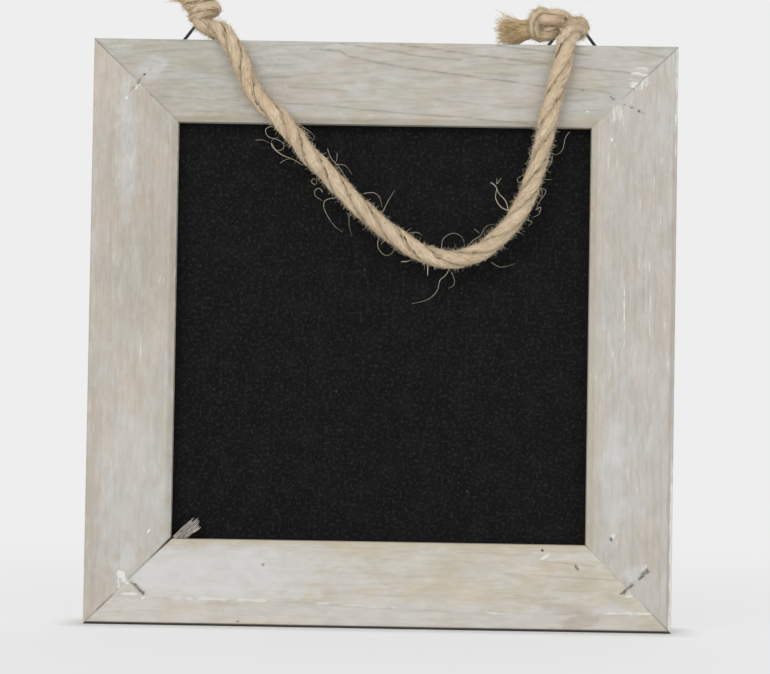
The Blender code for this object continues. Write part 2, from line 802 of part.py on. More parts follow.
def make_tail(side, start, along, swing, material):
    """Make a rope end's frayed tail: a short tube that opens towards its end."""
    length = LEFT_TAIL_LENGTH if side == "left" else RIGHT_TAIL_LENGTH
    steps = len(TAIL_GROWTH_SHARES) - 1
    points = []
    radii = []
    for index, share in enumerate(TAIL_GROWTH_SHARES):
        points.append(start + along * (length * index / steps))
        radii.append(EYE_ROPE_RADIUS + (TAIL_RADIUS - EYE_ROPE_RADIUS) * share)
    tail = tube(f"{side}_tail", points, radii, ROPE_BEVEL_RESOLUTION, material, swing)
    tail.matrix_parent_inverse = swing.matrix_world.inverted()


def straight_start(end, before):
    """Return two points that carry a tube on, face to face and in line, past another's end."""
    along = (end - before).normalized()
    return [end + along * SEAT_GAP, end + along * (SEAT_GAP + BEND_POINT_SPACING)]


def make_rope(material):
    """Make the rope: the drape over the front, and a knot with its tail at each ring."""
    swing = empty("rope_swing", (0, HINGE_Y, APEX_Z))
    bpy.context.view_layer.update()
    front = smooth_route(drape_points(), ROPE_POINT_SPACING)
    span = tube("rope_span", front, [ROPE_RADIUS] * len(front), ROPE_BEVEL_RESOLUTION, material, swing)
    span.matrix_parent_inverse = swing.matrix_world.inverted()
    left_lead = straight_start(front[0], front[1])
    left_lead += [over_top_point(LEFT_RING_X, offset) for offset in LEFT_OVER_TOP]
    right_lead = straight_start(front[-1], front[-2])
    right_lead += [over_top_point(RIGHT_RING_X, offset) for offset in RIGHT_OVER_TOP]
    make_knot(
        "left",
        LEFT_RING_X,
        left_lead,
        LEFT_INTO_KNOT,
        LEFT_KNOT_CENTRE,
        LEFT_KNOT_AXIS,
        LEFT_TAIL_AXIS,
        swing,
        material,
    )
    make_knot(
        "right",
        RIGHT_RING_X,
        right_lead,
        RIGHT_INTO_KNOT,
        RIGHT_KNOT_CENTRE,
        RIGHT_KNOT_AXIS,
        RIGHT_TAIL_AXIS,
        swing,
        material,
    )


def make_frame(materials):
    """Make the four mitred rails, their staples and the panel's points, and return the rails."""
    wood = materials["whitewashed_wood"]
    rails = {
        "bottom": make_rail("bottom_rail", "bottom", ("left", "right"), wood, OPEN_MITRE),
        "top": make_rail("top_rail", "top", ("right", "left"), wood),
        "left": make_rail("left_stile", "left", ("top", "bottom"), wood),
        "right": make_rail("right_stile", "right", ("bottom", "top"), wood),
    }
    for corner, (location, turn) in staple_places().items():
        make_staple(corner, location, turn, materials["staple_steel"])
        cutter = make_staple_cutter(corner, location, turn)
        for side in corner.split("_"):
            boolean(rails[side], cutter)
    for side, rail in rails.items():
        for end, along in zip(POINT_ENDS[side], (-POINT_PITCH / 2, POINT_PITCH / 2)):
            make_panel_point(f"panel_point_{side}_{end}", rail, side, along, materials["point_steel"])
    return rails


def main():
    clear_scene()
    materials = make_materials()
    rails = make_frame(materials)
    make_panel(materials["chalk_surface"])
    make_hanger("left", LEFT_RING_X, rails["top"], materials)
    make_hanger("right", RIGHT_RING_X, rails["top"], materials)
    make_rope(materials["jute"])


main()
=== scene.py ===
import json
import logging
import math
from dataclasses import dataclass
from enum import Enum

import bmesh
import bpy
import numpy as np
from mathutils import Matrix
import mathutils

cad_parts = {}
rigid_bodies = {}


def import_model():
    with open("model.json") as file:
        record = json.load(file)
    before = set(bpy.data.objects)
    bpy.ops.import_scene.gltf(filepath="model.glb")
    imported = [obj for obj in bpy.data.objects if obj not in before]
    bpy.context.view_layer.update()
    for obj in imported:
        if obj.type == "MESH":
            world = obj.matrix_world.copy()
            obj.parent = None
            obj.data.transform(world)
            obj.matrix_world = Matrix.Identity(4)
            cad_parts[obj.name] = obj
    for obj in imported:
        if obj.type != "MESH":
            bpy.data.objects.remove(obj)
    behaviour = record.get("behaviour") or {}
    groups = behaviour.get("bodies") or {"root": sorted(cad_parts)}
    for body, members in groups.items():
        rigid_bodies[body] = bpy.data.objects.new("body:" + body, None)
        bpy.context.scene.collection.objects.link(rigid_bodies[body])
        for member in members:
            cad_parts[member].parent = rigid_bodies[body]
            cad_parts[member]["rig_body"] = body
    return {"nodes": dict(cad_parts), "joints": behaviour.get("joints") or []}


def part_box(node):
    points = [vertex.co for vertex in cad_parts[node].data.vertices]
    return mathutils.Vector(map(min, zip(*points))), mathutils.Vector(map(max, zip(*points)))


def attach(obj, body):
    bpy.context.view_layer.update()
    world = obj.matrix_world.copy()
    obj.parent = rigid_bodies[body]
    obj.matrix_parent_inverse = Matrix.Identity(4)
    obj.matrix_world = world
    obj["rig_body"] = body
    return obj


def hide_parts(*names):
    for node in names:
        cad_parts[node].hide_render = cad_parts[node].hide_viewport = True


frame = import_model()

# A small hanging chalkboard: a whitewashed mitred frame, a black panel, wire rings and a jute rope.
# Metres, +Z up, the front faces -Y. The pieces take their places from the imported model's own boxes
# and joints. The tables of marks, lines, hairs and rope places are in millimetres.

# Short names for types
Array = np.ndarray
Node = bpy.types.Node
Piece = bpy.types.Object
Material = bpy.types.Material
Socket = bpy.types.NodeSocket
Pair = tuple[float, float]
Vector = tuple[float, float, float]
Tone = tuple[float, float, float, float]

LOG = logging.getLogger("chalkboard")
MILLIMETRE = 0.001
FULL_TURN = 2 * math.pi
SHARP_ANGLE = math.radians(40)
CURVE_STEPS = 24
SIDEWAYS = np.array([[0.0, 1.0, 0.0]])
STRAND_APART = 11.0


class Side(Enum):
    """The four rails of the frame."""

    BOTTOM = "bottom_rail"
    TOP = "top_rail"
    LEFT = "left_stile"
    RIGHT = "right_stile"


class MarkKind(Enum):
    """What a mark on the frame's face does to the wood."""

    SOOT = "soot"
    CHALK = "chalk"
    STAIN = "stain"
    LINE = "line"
    WASH = "wash"


def unit(vectors: Array) -> Array:
    """Return the vectors, one in each row, at length one."""
    return vectors / np.maximum(np.linalg.norm(vectors, axis=-1, keepdims=True), 1e-12)


def ease(value: Array, low: float, high: float) -> Array:
    """Return 0 below low, 1 above high and a smooth step between them."""
    share = np.clip((value - low) / (high - low), 0.0, 1.0)
    return share * share * (3.0 - 2.0 * share)


def drift(places: Array, spacing: float, seed: int) -> Array:
    """Return smooth noise between -1 and 1 along a line.

    Random levels stand at even steps and are eased into each other.

    Args:
        places: distances along the line.
        spacing: distance between two random levels.
        seed: seed of the levels.

    Returns:
        One level for each place.
    """
    steps = (places - places.min()) / spacing
    levels = np.random.default_rng(seed).uniform(-1.0, 1.0, int(steps.max()) + 3)
    low = steps.astype(int)
    share = ease(steps - low, 0.0, 1.0)
    return levels[low] * (1.0 - share) + levels[low + 1] * share


def cloud(first: Array, second: Array, spacings: Pair, seed: int) -> Array:
    """Return smooth noise between -1 and 1 over a surface.

    Random levels stand on a lattice with the two spacings and are eased into each other both ways.

    Args:
        first: first coordinate of each point.
        second: second coordinate of each point.
        spacings: the lattice's step along each coordinate.
        seed: seed of the levels.

    Returns:
        One level for each point.
    """
    rows = (first - first.min()) / spacings[0]
    columns = (second - second.min()) / spacings[1]
    shape = (int(rows.max()) + 3, int(columns.max()) + 3)
    levels = np.random.default_rng(seed).uniform(-1.0, 1.0, shape)
    row, column = rows.astype(int), columns.astype(int)
    down, over = ease(rows - row, 0.0, 1.0), ease(columns - column, 0.0, 1.0)
    near = levels[row, column] * (1 - over) + levels[row, column + 1] * over
    far = levels[row + 1, column] * (1 - over) + levels[row + 1, column + 1] * over
    return near * (1 - down) + far * down


def grid_quads(rows: int, columns: int, closed: bool, flipped: bool = False) -> Array:
    """Return the quads of a grid of points, one row after another.

    Args:
        rows: number of rows.
        columns: points in a row.
        closed: whether a row's last point joins its first.
        flipped: whether the quads turn the other way.

    Returns:
        Four point numbers in each row.
    """
    row = np.arange(rows - 1)[:, None] * columns
    column = np.arange(columns if closed else columns - 1)[None, :]
    follow = (column + 1) % columns
    corners = [row + column, row + follow, row + columns + follow, row + columns + column]
    quads = np.stack(corners, axis=-1).reshape(-1, 4)
    return quads[:, ::-1] if flipped else quads


def linked(name: str, data: bpy.types.ID) -> Piece:
    """Return a new object that shows some data, linked to the scene."""
    thing = bpy.data.objects.new(name, data)
    bpy.context.scene.collection.objects.link(thing)
    return thing


def new_piece(name: str, points: Array, faces: list, sharp: bool = True) -> Piece:
    """Make a smooth mesh object at the origin from points and faces.

    Args:
        name: the object's name.
        points: x, y and z of each point.
        faces: the point numbers of each face.
        sharp: whether edges steeper than the sharp angle stay sharp.

    Returns:
        The object, linked to the scene.
    """
    mesh = bpy.data.meshes.new(name)
    mesh.from_pydata(points.reshape(-1, 3).tolist(), [], faces)
    mesh.shade_smooth()
    if sharp:
        mesh.set_sharp_from_angle(angle=SHARP_ANGLE)
    return linked(name, mesh)


def set_values(piece: Piece, name: str, values: Array) -> None:
    """Keep one number, or one vector, for each point of a piece's mesh as a named attribute."""
    vector = values.shape[-1] == 3 and values.size == 3 * len(piece.data.vertices)
    kind, field = ("FLOAT_VECTOR", "vector") if vector else ("FLOAT", "value")
    attribute = piece.data.attributes.new(name, kind, "POINT")
    attribute.data.foreach_set(field, np.ascontiguousarray(values, dtype=np.float32).ravel())


def carried_sides(paths: Array, start: Array) -> tuple[Array, Array, Array]:
    """Carry two side directions along paths without twist.

    At each station the last first side is laid square to the new tangent, and the second side is
    the tangent crossed with it. The loop runs over stations, for all paths at once.

    Args:
        paths: one path in each row, each a run of points.
        start: a direction for each path that its first side starts near to.

    Returns:
        The tangents, the first sides and the second sides.
    """
    tangents = unit(np.gradient(paths, axis=1))
    first = np.empty_like(paths)
    side = start
    for station in range(paths.shape[1]):
        along = tangents[:, station]
        side = unit(side - np.sum(side * along, axis=1, keepdims=True) * along)
        first[:, station] = side
    return tangents, first, np.cross(tangents, first)


def tube_points(paths: Array, reaches: Array, start: Array) -> Array:
    """Return the rings of points of tubes along paths.

    Each ring stands square to its path, and its points lie at even angles, at the given reaches.

    Args:
        paths: one path in each row.
        reaches: distance from the path for each path, station and side.
        start: a direction for each path that angle zero starts near to.

    Returns:
        Points by path, station and side.
    """
    _, first, second = carried_sides(paths, start)
    angles = np.linspace(0.0, FULL_TURN, reaches.shape[2], endpoint=False)
    spoke = first[:, :, None] * np.cos(angles)[:, None] + second[:, :, None] * np.sin(angles)[:, None]
    return paths[:, :, None] + spoke * reaches[..., None]


def tube_faces(count: int, stations: int, sides: int) -> list:
    """Return the faces of closed tubes whose points lie by path, station and side."""
    quads = grid_quads(stations, sides, closed=True)
    offsets = np.arange(count)[:, None, None] * stations * sides
    ring = np.arange(sides)
    starts = (ring[::-1] + offsets[:, 0]).tolist()
    ends = (ring + (stations - 1) * sides + offsets[:, 0]).tolist()
    return (quads[None] + offsets).reshape(-1, 4).tolist() + starts + ends


def smooth_line(knots: Array, spacing: float) -> Array:
    """Return evenly spaced points of the centripetal Catmull-Rom curve through the knots.

    The curve runs through x, y and z, and whatever a knot carries after them runs with it.

    Args:
        knots: one knot in each row.
        spacing: distance between two points of the result, about.

    Returns:
        One point in each row.
    """
    padded = np.vstack([2 * knots[0] - knots[1], knots, 2 * knots[-1] - knots[-2]])
    gaps = np.sqrt(np.linalg.norm(np.diff(padded[:, :3], axis=0), axis=1))
    times = np.concatenate([[0.0], np.cumsum(gaps)])
    runs = []
    for index in range(1, len(padded) - 2):
        level = list(padded[index - 1 : index + 3, None])
        moments = times[index - 1 : index + 3]
        moment = np.linspace(moments[1], moments[2], CURVE_STEPS, endpoint=False)[:, None]
        for depth in (1, 2, 3):
            level = [
                level[i] + (level[i + 1] - level[i]) * (moment - moments[i]) / (moments[i + depth] - moments[i])
                for i in range(len(level) - 1)
            ]
        runs.append(level[0])
    dense = np.vstack([*runs, knots[-1:]])
    lengths = np.concatenate([[0.0], np.cumsum(np.linalg.norm(np.diff(dense[:, :3], axis=0), axis=1))])
    goals = np.linspace(0.0, lengths[-1], max(2, round(lengths[-1] / spacing) + 1))
    return np.stack([np.interp(goals, lengths, column) for column in dense.T], axis=1)


def dress(piece: Piece, material: Material, body: str) -> Piece:
    """Give a piece its material and the body it rides on, and report it."""
    if piece.data.materials:
        piece.data.materials[0] = material
    else:
        piece.data.materials.append(material)
    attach(piece, body)
    LOG.info("%s rides on %s with %d faces", piece.name, body, len(piece.data.polygons))
    return piece


class Graph:
    """A node tree with short calls that add nodes and link them."""

    def __init__(self, tree: bpy.types.NodeTree) -> None:
        """Keep the tree."""
        self.tree = tree

    def add(self, kind: str, **settings: object) -> Node:
        """Add a node of a kind and set its properties."""
        node = self.tree.nodes.new(kind)
        for key, value in settings.items():
            setattr(node, key, value)
        return node

    def feed(self, socket: Socket, value: object) -> None:
        """Link a socket to another, or set its value."""
        if isinstance(value, Socket):
            self.tree.links.new(value, socket)
        else:
            socket.default_value = value

    def calc(self, operation: str, *values: object) -> Socket:
        """Return the result of a sum on numbers."""
        node = self.add("ShaderNodeMath", operation=operation)
        for socket, value in zip(node.inputs, values):
            self.feed(socket, value)
        return node.outputs[0]

    def plus(self, first: object, second: object) -> Socket:
        """Return two numbers added."""
        return self.calc("ADD", first, second)

    def minus(self, first: object, second: object) -> Socket:
        """Return the first number less the second."""
        return self.calc("SUBTRACT", first, second)

    def times(self, first: object, second: object) -> Socket:
        """Return two numbers multiplied."""
        return self.calc("MULTIPLY", first, second)

    def stretched(self, place: object, factors: Vector) -> Socket:
        """Return a place with each coordinate multiplied by its factor."""
        node = self.add("ShaderNodeVectorMath", operation="MULTIPLY")
        self.feed(node.inputs[0], place)
        node.inputs[1].default_value = factors
        return node.outputs[0]

    def noise(self, place: object, factors: Vector, detail: float = 2.0,
              roughness: float = 0.5, distortion: float = 0.0) -> Socket:
        """Return noise, about 0.5, over a place stretched by factors."""
        node = self.add("ShaderNodeTexNoise")
        settings = {"Scale": 1.0, "Detail": detail, "Roughness": roughness, "Distortion": distortion}
        for label, value in {"Vector": self.stretched(place, factors), **settings}.items():
            self.feed(node.inputs[label], value)
        return node.outputs["Fac"]

    def cells(self, place: object, factors: Vector) -> Node:
        """Return a node of random cells, with the distance to their points and a colour for each."""
        node = self.add("ShaderNodeTexVoronoi")
        self.feed(node.inputs["Vector"], self.stretched(place, factors))
        node.inputs["Scale"].default_value = 1.0
        return node

    def span(self, value: object, low: float, high: float, start: float = 0.0,
             end: float = 1.0) -> Socket:
        """Return start below low, end above high and a smooth step between them."""
        node = self.add("ShaderNodeMapRange", interpolation_type="SMOOTHSTEP")
        for socket, number in zip(node.inputs, (value, low, high, start, end)):
            self.feed(socket, number)
        return node.outputs[0]

    def blend(self, share: object, first: object, second: object, mode: str = "MIX") -> Socket:
        """Return a mix of two colours."""
        node = self.add("ShaderNodeMix", data_type="RGBA", blend_type=mode)
        for socket, value in ((0, share), (6, first), (7, second)):
            self.feed(node.inputs[socket], value)
        return node.outputs[2]

    def value_of(self, name: str) -> Socket:
        """Return a numeric attribute of the mesh."""
        return self.add("ShaderNodeAttribute", attribute_name=name).outputs["Fac"]

    def place_of(self, name: str) -> Socket:
        """Return a vector attribute of the mesh."""
        return self.add("ShaderNodeAttribute", attribute_name=name).outputs["Vector"]

    def object_place(self) -> Socket:
        """Return the place in the object's own axes."""
        return self.add("ShaderNodeTexCoord").outputs["Object"]

    def part(self, vector: object, axis: int) -> Socket:
        """Return one coordinate of a vector."""
        node = self.add("ShaderNodeSeparateXYZ")
        self.feed(node.inputs[0], vector)
        return node.outputs[axis]


def colour(red: int, green: int, blue: int) -> Tone:
    """Return a colour given in the display's 0 to 255 as linear light."""
    shares = np.array([red, green, blue]) / 255.0
    linear = np.where(shares <= 0.04045, shares / 12.92, ((shares + 0.055) / 1.055) ** 2.4)
    return (*linear.tolist(), 1.0)


def new_group(name: str, inputs: dict[str, str], outputs: dict[str, str]) -> tuple[Graph, dict, dict]:
    """Start a shader node group with named sockets.

    Args:
        name: the group's name.
        inputs: kind of each input: Float, Color or Vector.
        outputs: kind of each output.

    Returns:
        The group's graph, its inputs as sockets to read, and its outputs as sockets to feed.
    """
    tree = bpy.data.node_groups.new(name, "ShaderNodeTree")
    for in_out, sockets in (("INPUT", inputs), ("OUTPUT", outputs)):
        for label, kind in sockets.items():
            tree.interface.new_socket(name=label, in_out=in_out, socket_type=f"NodeSocket{kind}")
    graph = Graph(tree)
    entry, leave = graph.add("NodeGroupInput"), graph.add("NodeGroupOutput")
    readable = {label: entry.outputs[label] for label in inputs}
    return graph, readable, {label: leave.inputs[label] for label in outputs}


def new_material(
    name: str, roughness: float = 0.8, metallic: float = 0.0, specular: float = 0.5
) -> tuple[Material, Graph, Node]:
    """Start a material and return it with its graph and its Principled shader."""
    material = bpy.data.materials.new(name)
    material.use_nodes = True
    shader = material.node_tree.nodes["Principled BSDF"]
    for label, value in (("Roughness", roughness), ("Metallic", metallic), ("Specular IOR Level", specular)):
        shader.inputs[label].default_value = value
    return material, Graph(material.node_tree), shader


def bump(graph: Graph, shader: Node, height: object, distance: float, strength: float = 1.0) -> None:
    """Let a height between 0 and 1 roughen a shader's normal, with its full depth in metres."""
    node = graph.add("ShaderNodeBump")
    node.inputs["Strength"].default_value = strength
    node.inputs["Distance"].default_value = distance
    graph.feed(node.inputs["Height"], height)
    graph.feed(shader.inputs["Normal"], node.outputs["Normal"])


# Camera and studio


@dataclass(frozen=True)
class PhotoCamera:
    """The photograph's camera: its place, its turns and its focal length on a 36 mm wide sensor."""

    place: Vector = (0.0090, -0.8, 0.0770)
    pan: float = 0.009779
    tilt: float = 0.027958
    roll: float = -0.016563
    focal_length: float = 108.94
    sensor_width: float = 36.0

    def build(self) -> None:
        """Make the camera, level along +Y before its turns, and make it the scene's camera."""
        data = bpy.data.cameras.new("photo_camera")
        data.sensor_fit = "HORIZONTAL"
        data.sensor_width = self.sensor_width
        data.lens = self.focal_length
        camera = linked("photo_camera", data)
        turn = Matrix.Rotation(self.pan, 4, "Z") @ Matrix.Rotation(self.tilt, 4, "X")
        turn = turn @ Matrix.Rotation(self.roll, 4, "Y") @ Matrix.Rotation(math.pi / 2, 4, "X")
        camera.matrix_world = Matrix.Translation(self.place) @ turn
        bpy.context.scene.camera = camera


@dataclass(frozen=True)
class SoftLamp:
    """A square area lamp aimed at a point."""

    name: str
    place: Vector
    power: float
    size: float
    aim: Vector = (0.0, 0.0, 0.11)

    def build(self) -> None:
        """Make the lamp."""
        data = bpy.data.lights.new(self.name, "AREA")
        data.energy = self.power
        data.size = self.size
        lamp = linked(self.name, data)
        away = Matrix.Translation(self.place).to_translation() - Matrix.Translation(self.aim).to_translation()
        lamp.matrix_world = Matrix.Translation(self.place) @ away.to_track_quat("Z", "Y").to_matrix().to_4x4()


@dataclass(frozen=True)
class Studio:
    """The plain pale floor, the world behind it and the soft lamps."""

    floor_reach: float = 6.0
    near_floor: float = 0.05
    far_floor: float = 0.6
    floor_glow: float = 0.75
    contact_reach: float = 0.014
    contact_glow: float = 0.0
    floor_colour: Tone = colour(240, 240, 241)
    shown_colour: Tone = colour(238, 238, 238)
    world_light: float = 0.56
    lamps: tuple[SoftLamp, ...] = (
        SoftLamp("key_lamp", (-0.8, -1.7, 1.0), 11.5, 1.1),
        SoftLamp("fill_lamp", (1.0, -1.7, 0.35), 5.5, 1.2),
        SoftLamp("back_lamp", (0.3, 1.5, 1.2), 8.0, 1.2),
    )

    def seen(self, graph: Graph) -> Socket:
        """Return 1 for rays from the camera or from a reflection, and 0 for light."""
        rays = graph.add("ShaderNodeLightPath")
        seen = graph.calc("MAXIMUM", rays.outputs["Is Camera Ray"], rays.outputs["Is Glossy Ray"])
        return graph.calc("MAXIMUM", seen, rays.outputs["Is Transmission Ray"])

    def build_world(self) -> None:
        """Light the scene evenly and show the pale background to the camera."""
        world = bpy.data.worlds.new("studio_world")
        bpy.context.scene.world = world
        world.use_nodes = True
        graph = Graph(world.node_tree)
        background = world.node_tree.nodes["Background"]
        light = (self.world_light, self.world_light, self.world_light, 1.0)
        graph.feed(background.inputs["Color"], graph.blend(self.seen(graph), light, self.shown_colour))
        background.inputs["Strength"].default_value = 1.0

    def build_floor(self) -> None:
        """Make the floor: the background's own colour far off, and plain matt paper round the board's foot.

        The way out of the foot is the length of (how far |x| and |y| pass the foot's half sizes).
        """
        reach = self.floor_reach
        corners = np.array([[-reach, -reach, 0], [reach, -reach, 0], [reach, reach, 0], [-reach, reach, 0]])
        floor = new_piece("floor", corners, [[0, 1, 2, 3]])
        material, graph, shader = new_material("floor_paper", 0.9, specular=0.0)
        shader.inputs["Base Color"].default_value = self.floor_colour
        place = graph.stretched(graph.object_place(), (1.0, 1.0, 0.0))
        length = graph.add("ShaderNodeVectorMath", operation="LENGTH")
        graph.feed(length.inputs[0], place)
        far = graph.span(length.outputs["Value"], self.near_floor, self.far_floor, self.floor_glow, 1.0)
        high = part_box(Side.BOTTOM.value)[1]
        out_x, out_y = (
            graph.calc("MAXIMUM", graph.minus(graph.calc("ABSOLUTE", graph.part(place, axis)), half), 0.0)
            for axis, half in ((0, high.x), (1, high.y))
        )
        out = graph.calc("SQRT", graph.plus(graph.calc("POWER", out_x, 2.0), graph.calc("POWER", out_y, 2.0)))
        far = graph.times(far, graph.span(out, 0.0, self.contact_reach, self.contact_glow, 1.0))
        glow = graph.add("ShaderNodeEmission")
        glow.inputs["Color"].default_value = self.shown_colour
        mix = graph.add("ShaderNodeMixShader")
        graph.feed(mix.inputs[0], graph.times(far, self.seen(graph)))
        graph.feed(mix.inputs[1], shader.outputs[0])
        graph.feed(mix.inputs[2], glow.outputs[0])
        graph.feed(material.node_tree.nodes["Material Output"].inputs["Surface"], mix.outputs[0])
        floor.data.materials.append(material)

    def build(self) -> None:
        """Build the world, the floor and the lamps."""
        bpy.context.scene.view_settings.view_transform = "Standard"
        self.build_world()
        self.build_floor()
        for lamp in self.lamps:
            lamp.build()


# Finishes


@dataclass(frozen=True)
class WoodFinish:
    """One rail's whitewashed wood: its tones, partly painted light, how far the wash covers it, and its grain's
    place.
    """

    warm: Tone
    olive: Tone
    cool: Tone
    wash_level: float
    fleck_strength: float
    ring_strength: float
    grain_start: Vector
    bare: Tone = colour(206, 192, 160)
    stain: Tone = colour(168, 146, 132)
    ring: Tone = colour(134, 126, 110)
    # Near black for real soot and dark joints, and for painted shade at the foot and in open staple slots
    soot: Tone = colour(66, 60, 54)
    # Near white for white marks and flecks, and for the painted highlight and painted light on the right edge,
    # the left lip and the ridge
    chalk: Tone = colour(238, 238, 234)
    film: Tone = colour(226, 226, 224)


# The rails' tones are partly their own wash and partly painted light: the bottom rail is painted lighter,
# standing in for the floor's bounce light
WOOD_FINISHES: dict[Side, WoodFinish] = {
    Side.TOP: WoodFinish(
        colour(201, 191, 178), colour(191, 187, 170), colour(204, 203, 200),
        0.52, 0.30, 0.25, (0.0, 0.0, 0.0),
    ),
    Side.BOTTOM: WoodFinish(
        colour(218, 205, 184), colour(210, 202, 182), colour(221, 218, 213),
        0.52, 0.30, 0.12, (410.0, 57.0, 20.0),
    ),
    Side.LEFT: WoodFinish(
        colour(206, 194, 180), colour(199, 191, 177), colour(205, 203, 197),
        0.48, 0.45, 0.18, (830.0, 117.0, 40.0),
    ),
    Side.RIGHT: WoodFinish(
        colour(207, 197, 185), colour(201, 195, 183), colour(209, 207, 203),
        0.54, 0.75, 0.18, (1250.0, 171.0, 60.0),
    ),
}


class Groups:
    """The shader node groups that several materials share, each built once."""

    def __init__(self) -> None:
        """Build the groups."""
        self.grain = self.build_grain()
        self.wear = self.build_wear()

    def build_grain(self) -> bpy.types.NodeTree:
        """Build the group of softwood grain: fibres, blotches, pores, white flecks, lines and tone."""
        inputs = {"Place": "Vector", "Rings": "Float"}
        outputs = {name: "Float" for name in ("Fibres", "Mottle", "Pores", "Flecks", "Lines", "Tone")}
        graph, entry, leave = new_group("softwood_grain", inputs, outputs)
        place = entry["Place"]
        graph.feed(leave["Fibres"], graph.noise(place, (0.11, 0.62, 0.62), 3.0, 0.55, 0.5))
        mottle = graph.noise(place, (0.10, 0.21, 0.21), 4.0, 0.6, 0.8)
        graph.feed(leave["Mottle"], mottle)
        graph.feed(leave["Pores"], graph.span(graph.noise(place, (0.20, 2.1, 2.1), 2.0, 0.5), 0.64, 0.76))
        flecks = graph.span(graph.noise(place, (0.14, 1.25, 1.25), 2.0, 0.55, 0.3), 0.62, 0.74)
        graph.feed(leave["Flecks"], graph.times(flecks, graph.span(mottle, 0.42, 0.60)))
        warp = graph.noise(place, (0.03, 0.10, 0.10), 2.0, 0.5)
        phase = graph.calc("FRACT", graph.plus(entry["Rings"], graph.times(warp, 1.1)))
        away = graph.calc("ABSOLUTE", graph.minus(phase, 0.5))
        broken = graph.span(graph.noise(place, (0.035, 0.45, 0.45), 3.0, 0.6), 0.40, 0.66)
        graph.feed(leave["Lines"], graph.times(graph.span(away, 0.16, 0.0), broken))
        graph.feed(leave["Tone"], graph.noise(place, (0.030, 0.080, 0.080), 3.0, 0.55, 0.6))
        return graph.tree

    def build_wear(self) -> bpy.types.NodeTree:
        """Build the group of worn wash: patchy cover that breaks up along the grain."""
        inputs = {"Place": "Vector", "Fibres": "Float", "Level": "Float", "Extra": "Float"}
        graph, entry, leave = new_group("rubbed_wash", inputs, {"Cover": "Float"})
        wide = graph.noise(entry["Place"], (0.045, 0.115, 0.115), 5.0, 0.62, 0.8)
        fine = graph.noise(entry["Place"], (0.12, 0.80, 0.80), 3.0, 0.6)
        level = graph.plus(graph.times(wide, 0.75), graph.times(fine, 0.25))
        level = graph.plus(level, graph.times(graph.minus(entry["Fibres"], 0.5), 0.30))
        level = graph.plus(level, graph.minus(entry["Level"], 0.5))
        level = graph.plus(level, graph.times(entry["Extra"], 0.35))
        graph.feed(leave["Cover"], graph.span(level, 0.38, 0.66))
        return graph.tree

    @staticmethod
    def use(graph: Graph, tree: bpy.types.NodeTree, **values: object) -> Node:
        """Place a group in a graph and feed its inputs, named in small letters."""
        node = graph.add("ShaderNodeGroup", node_tree=tree)
        for label, value in values.items():
            graph.feed(node.inputs[label.capitalize()], value)
        return node


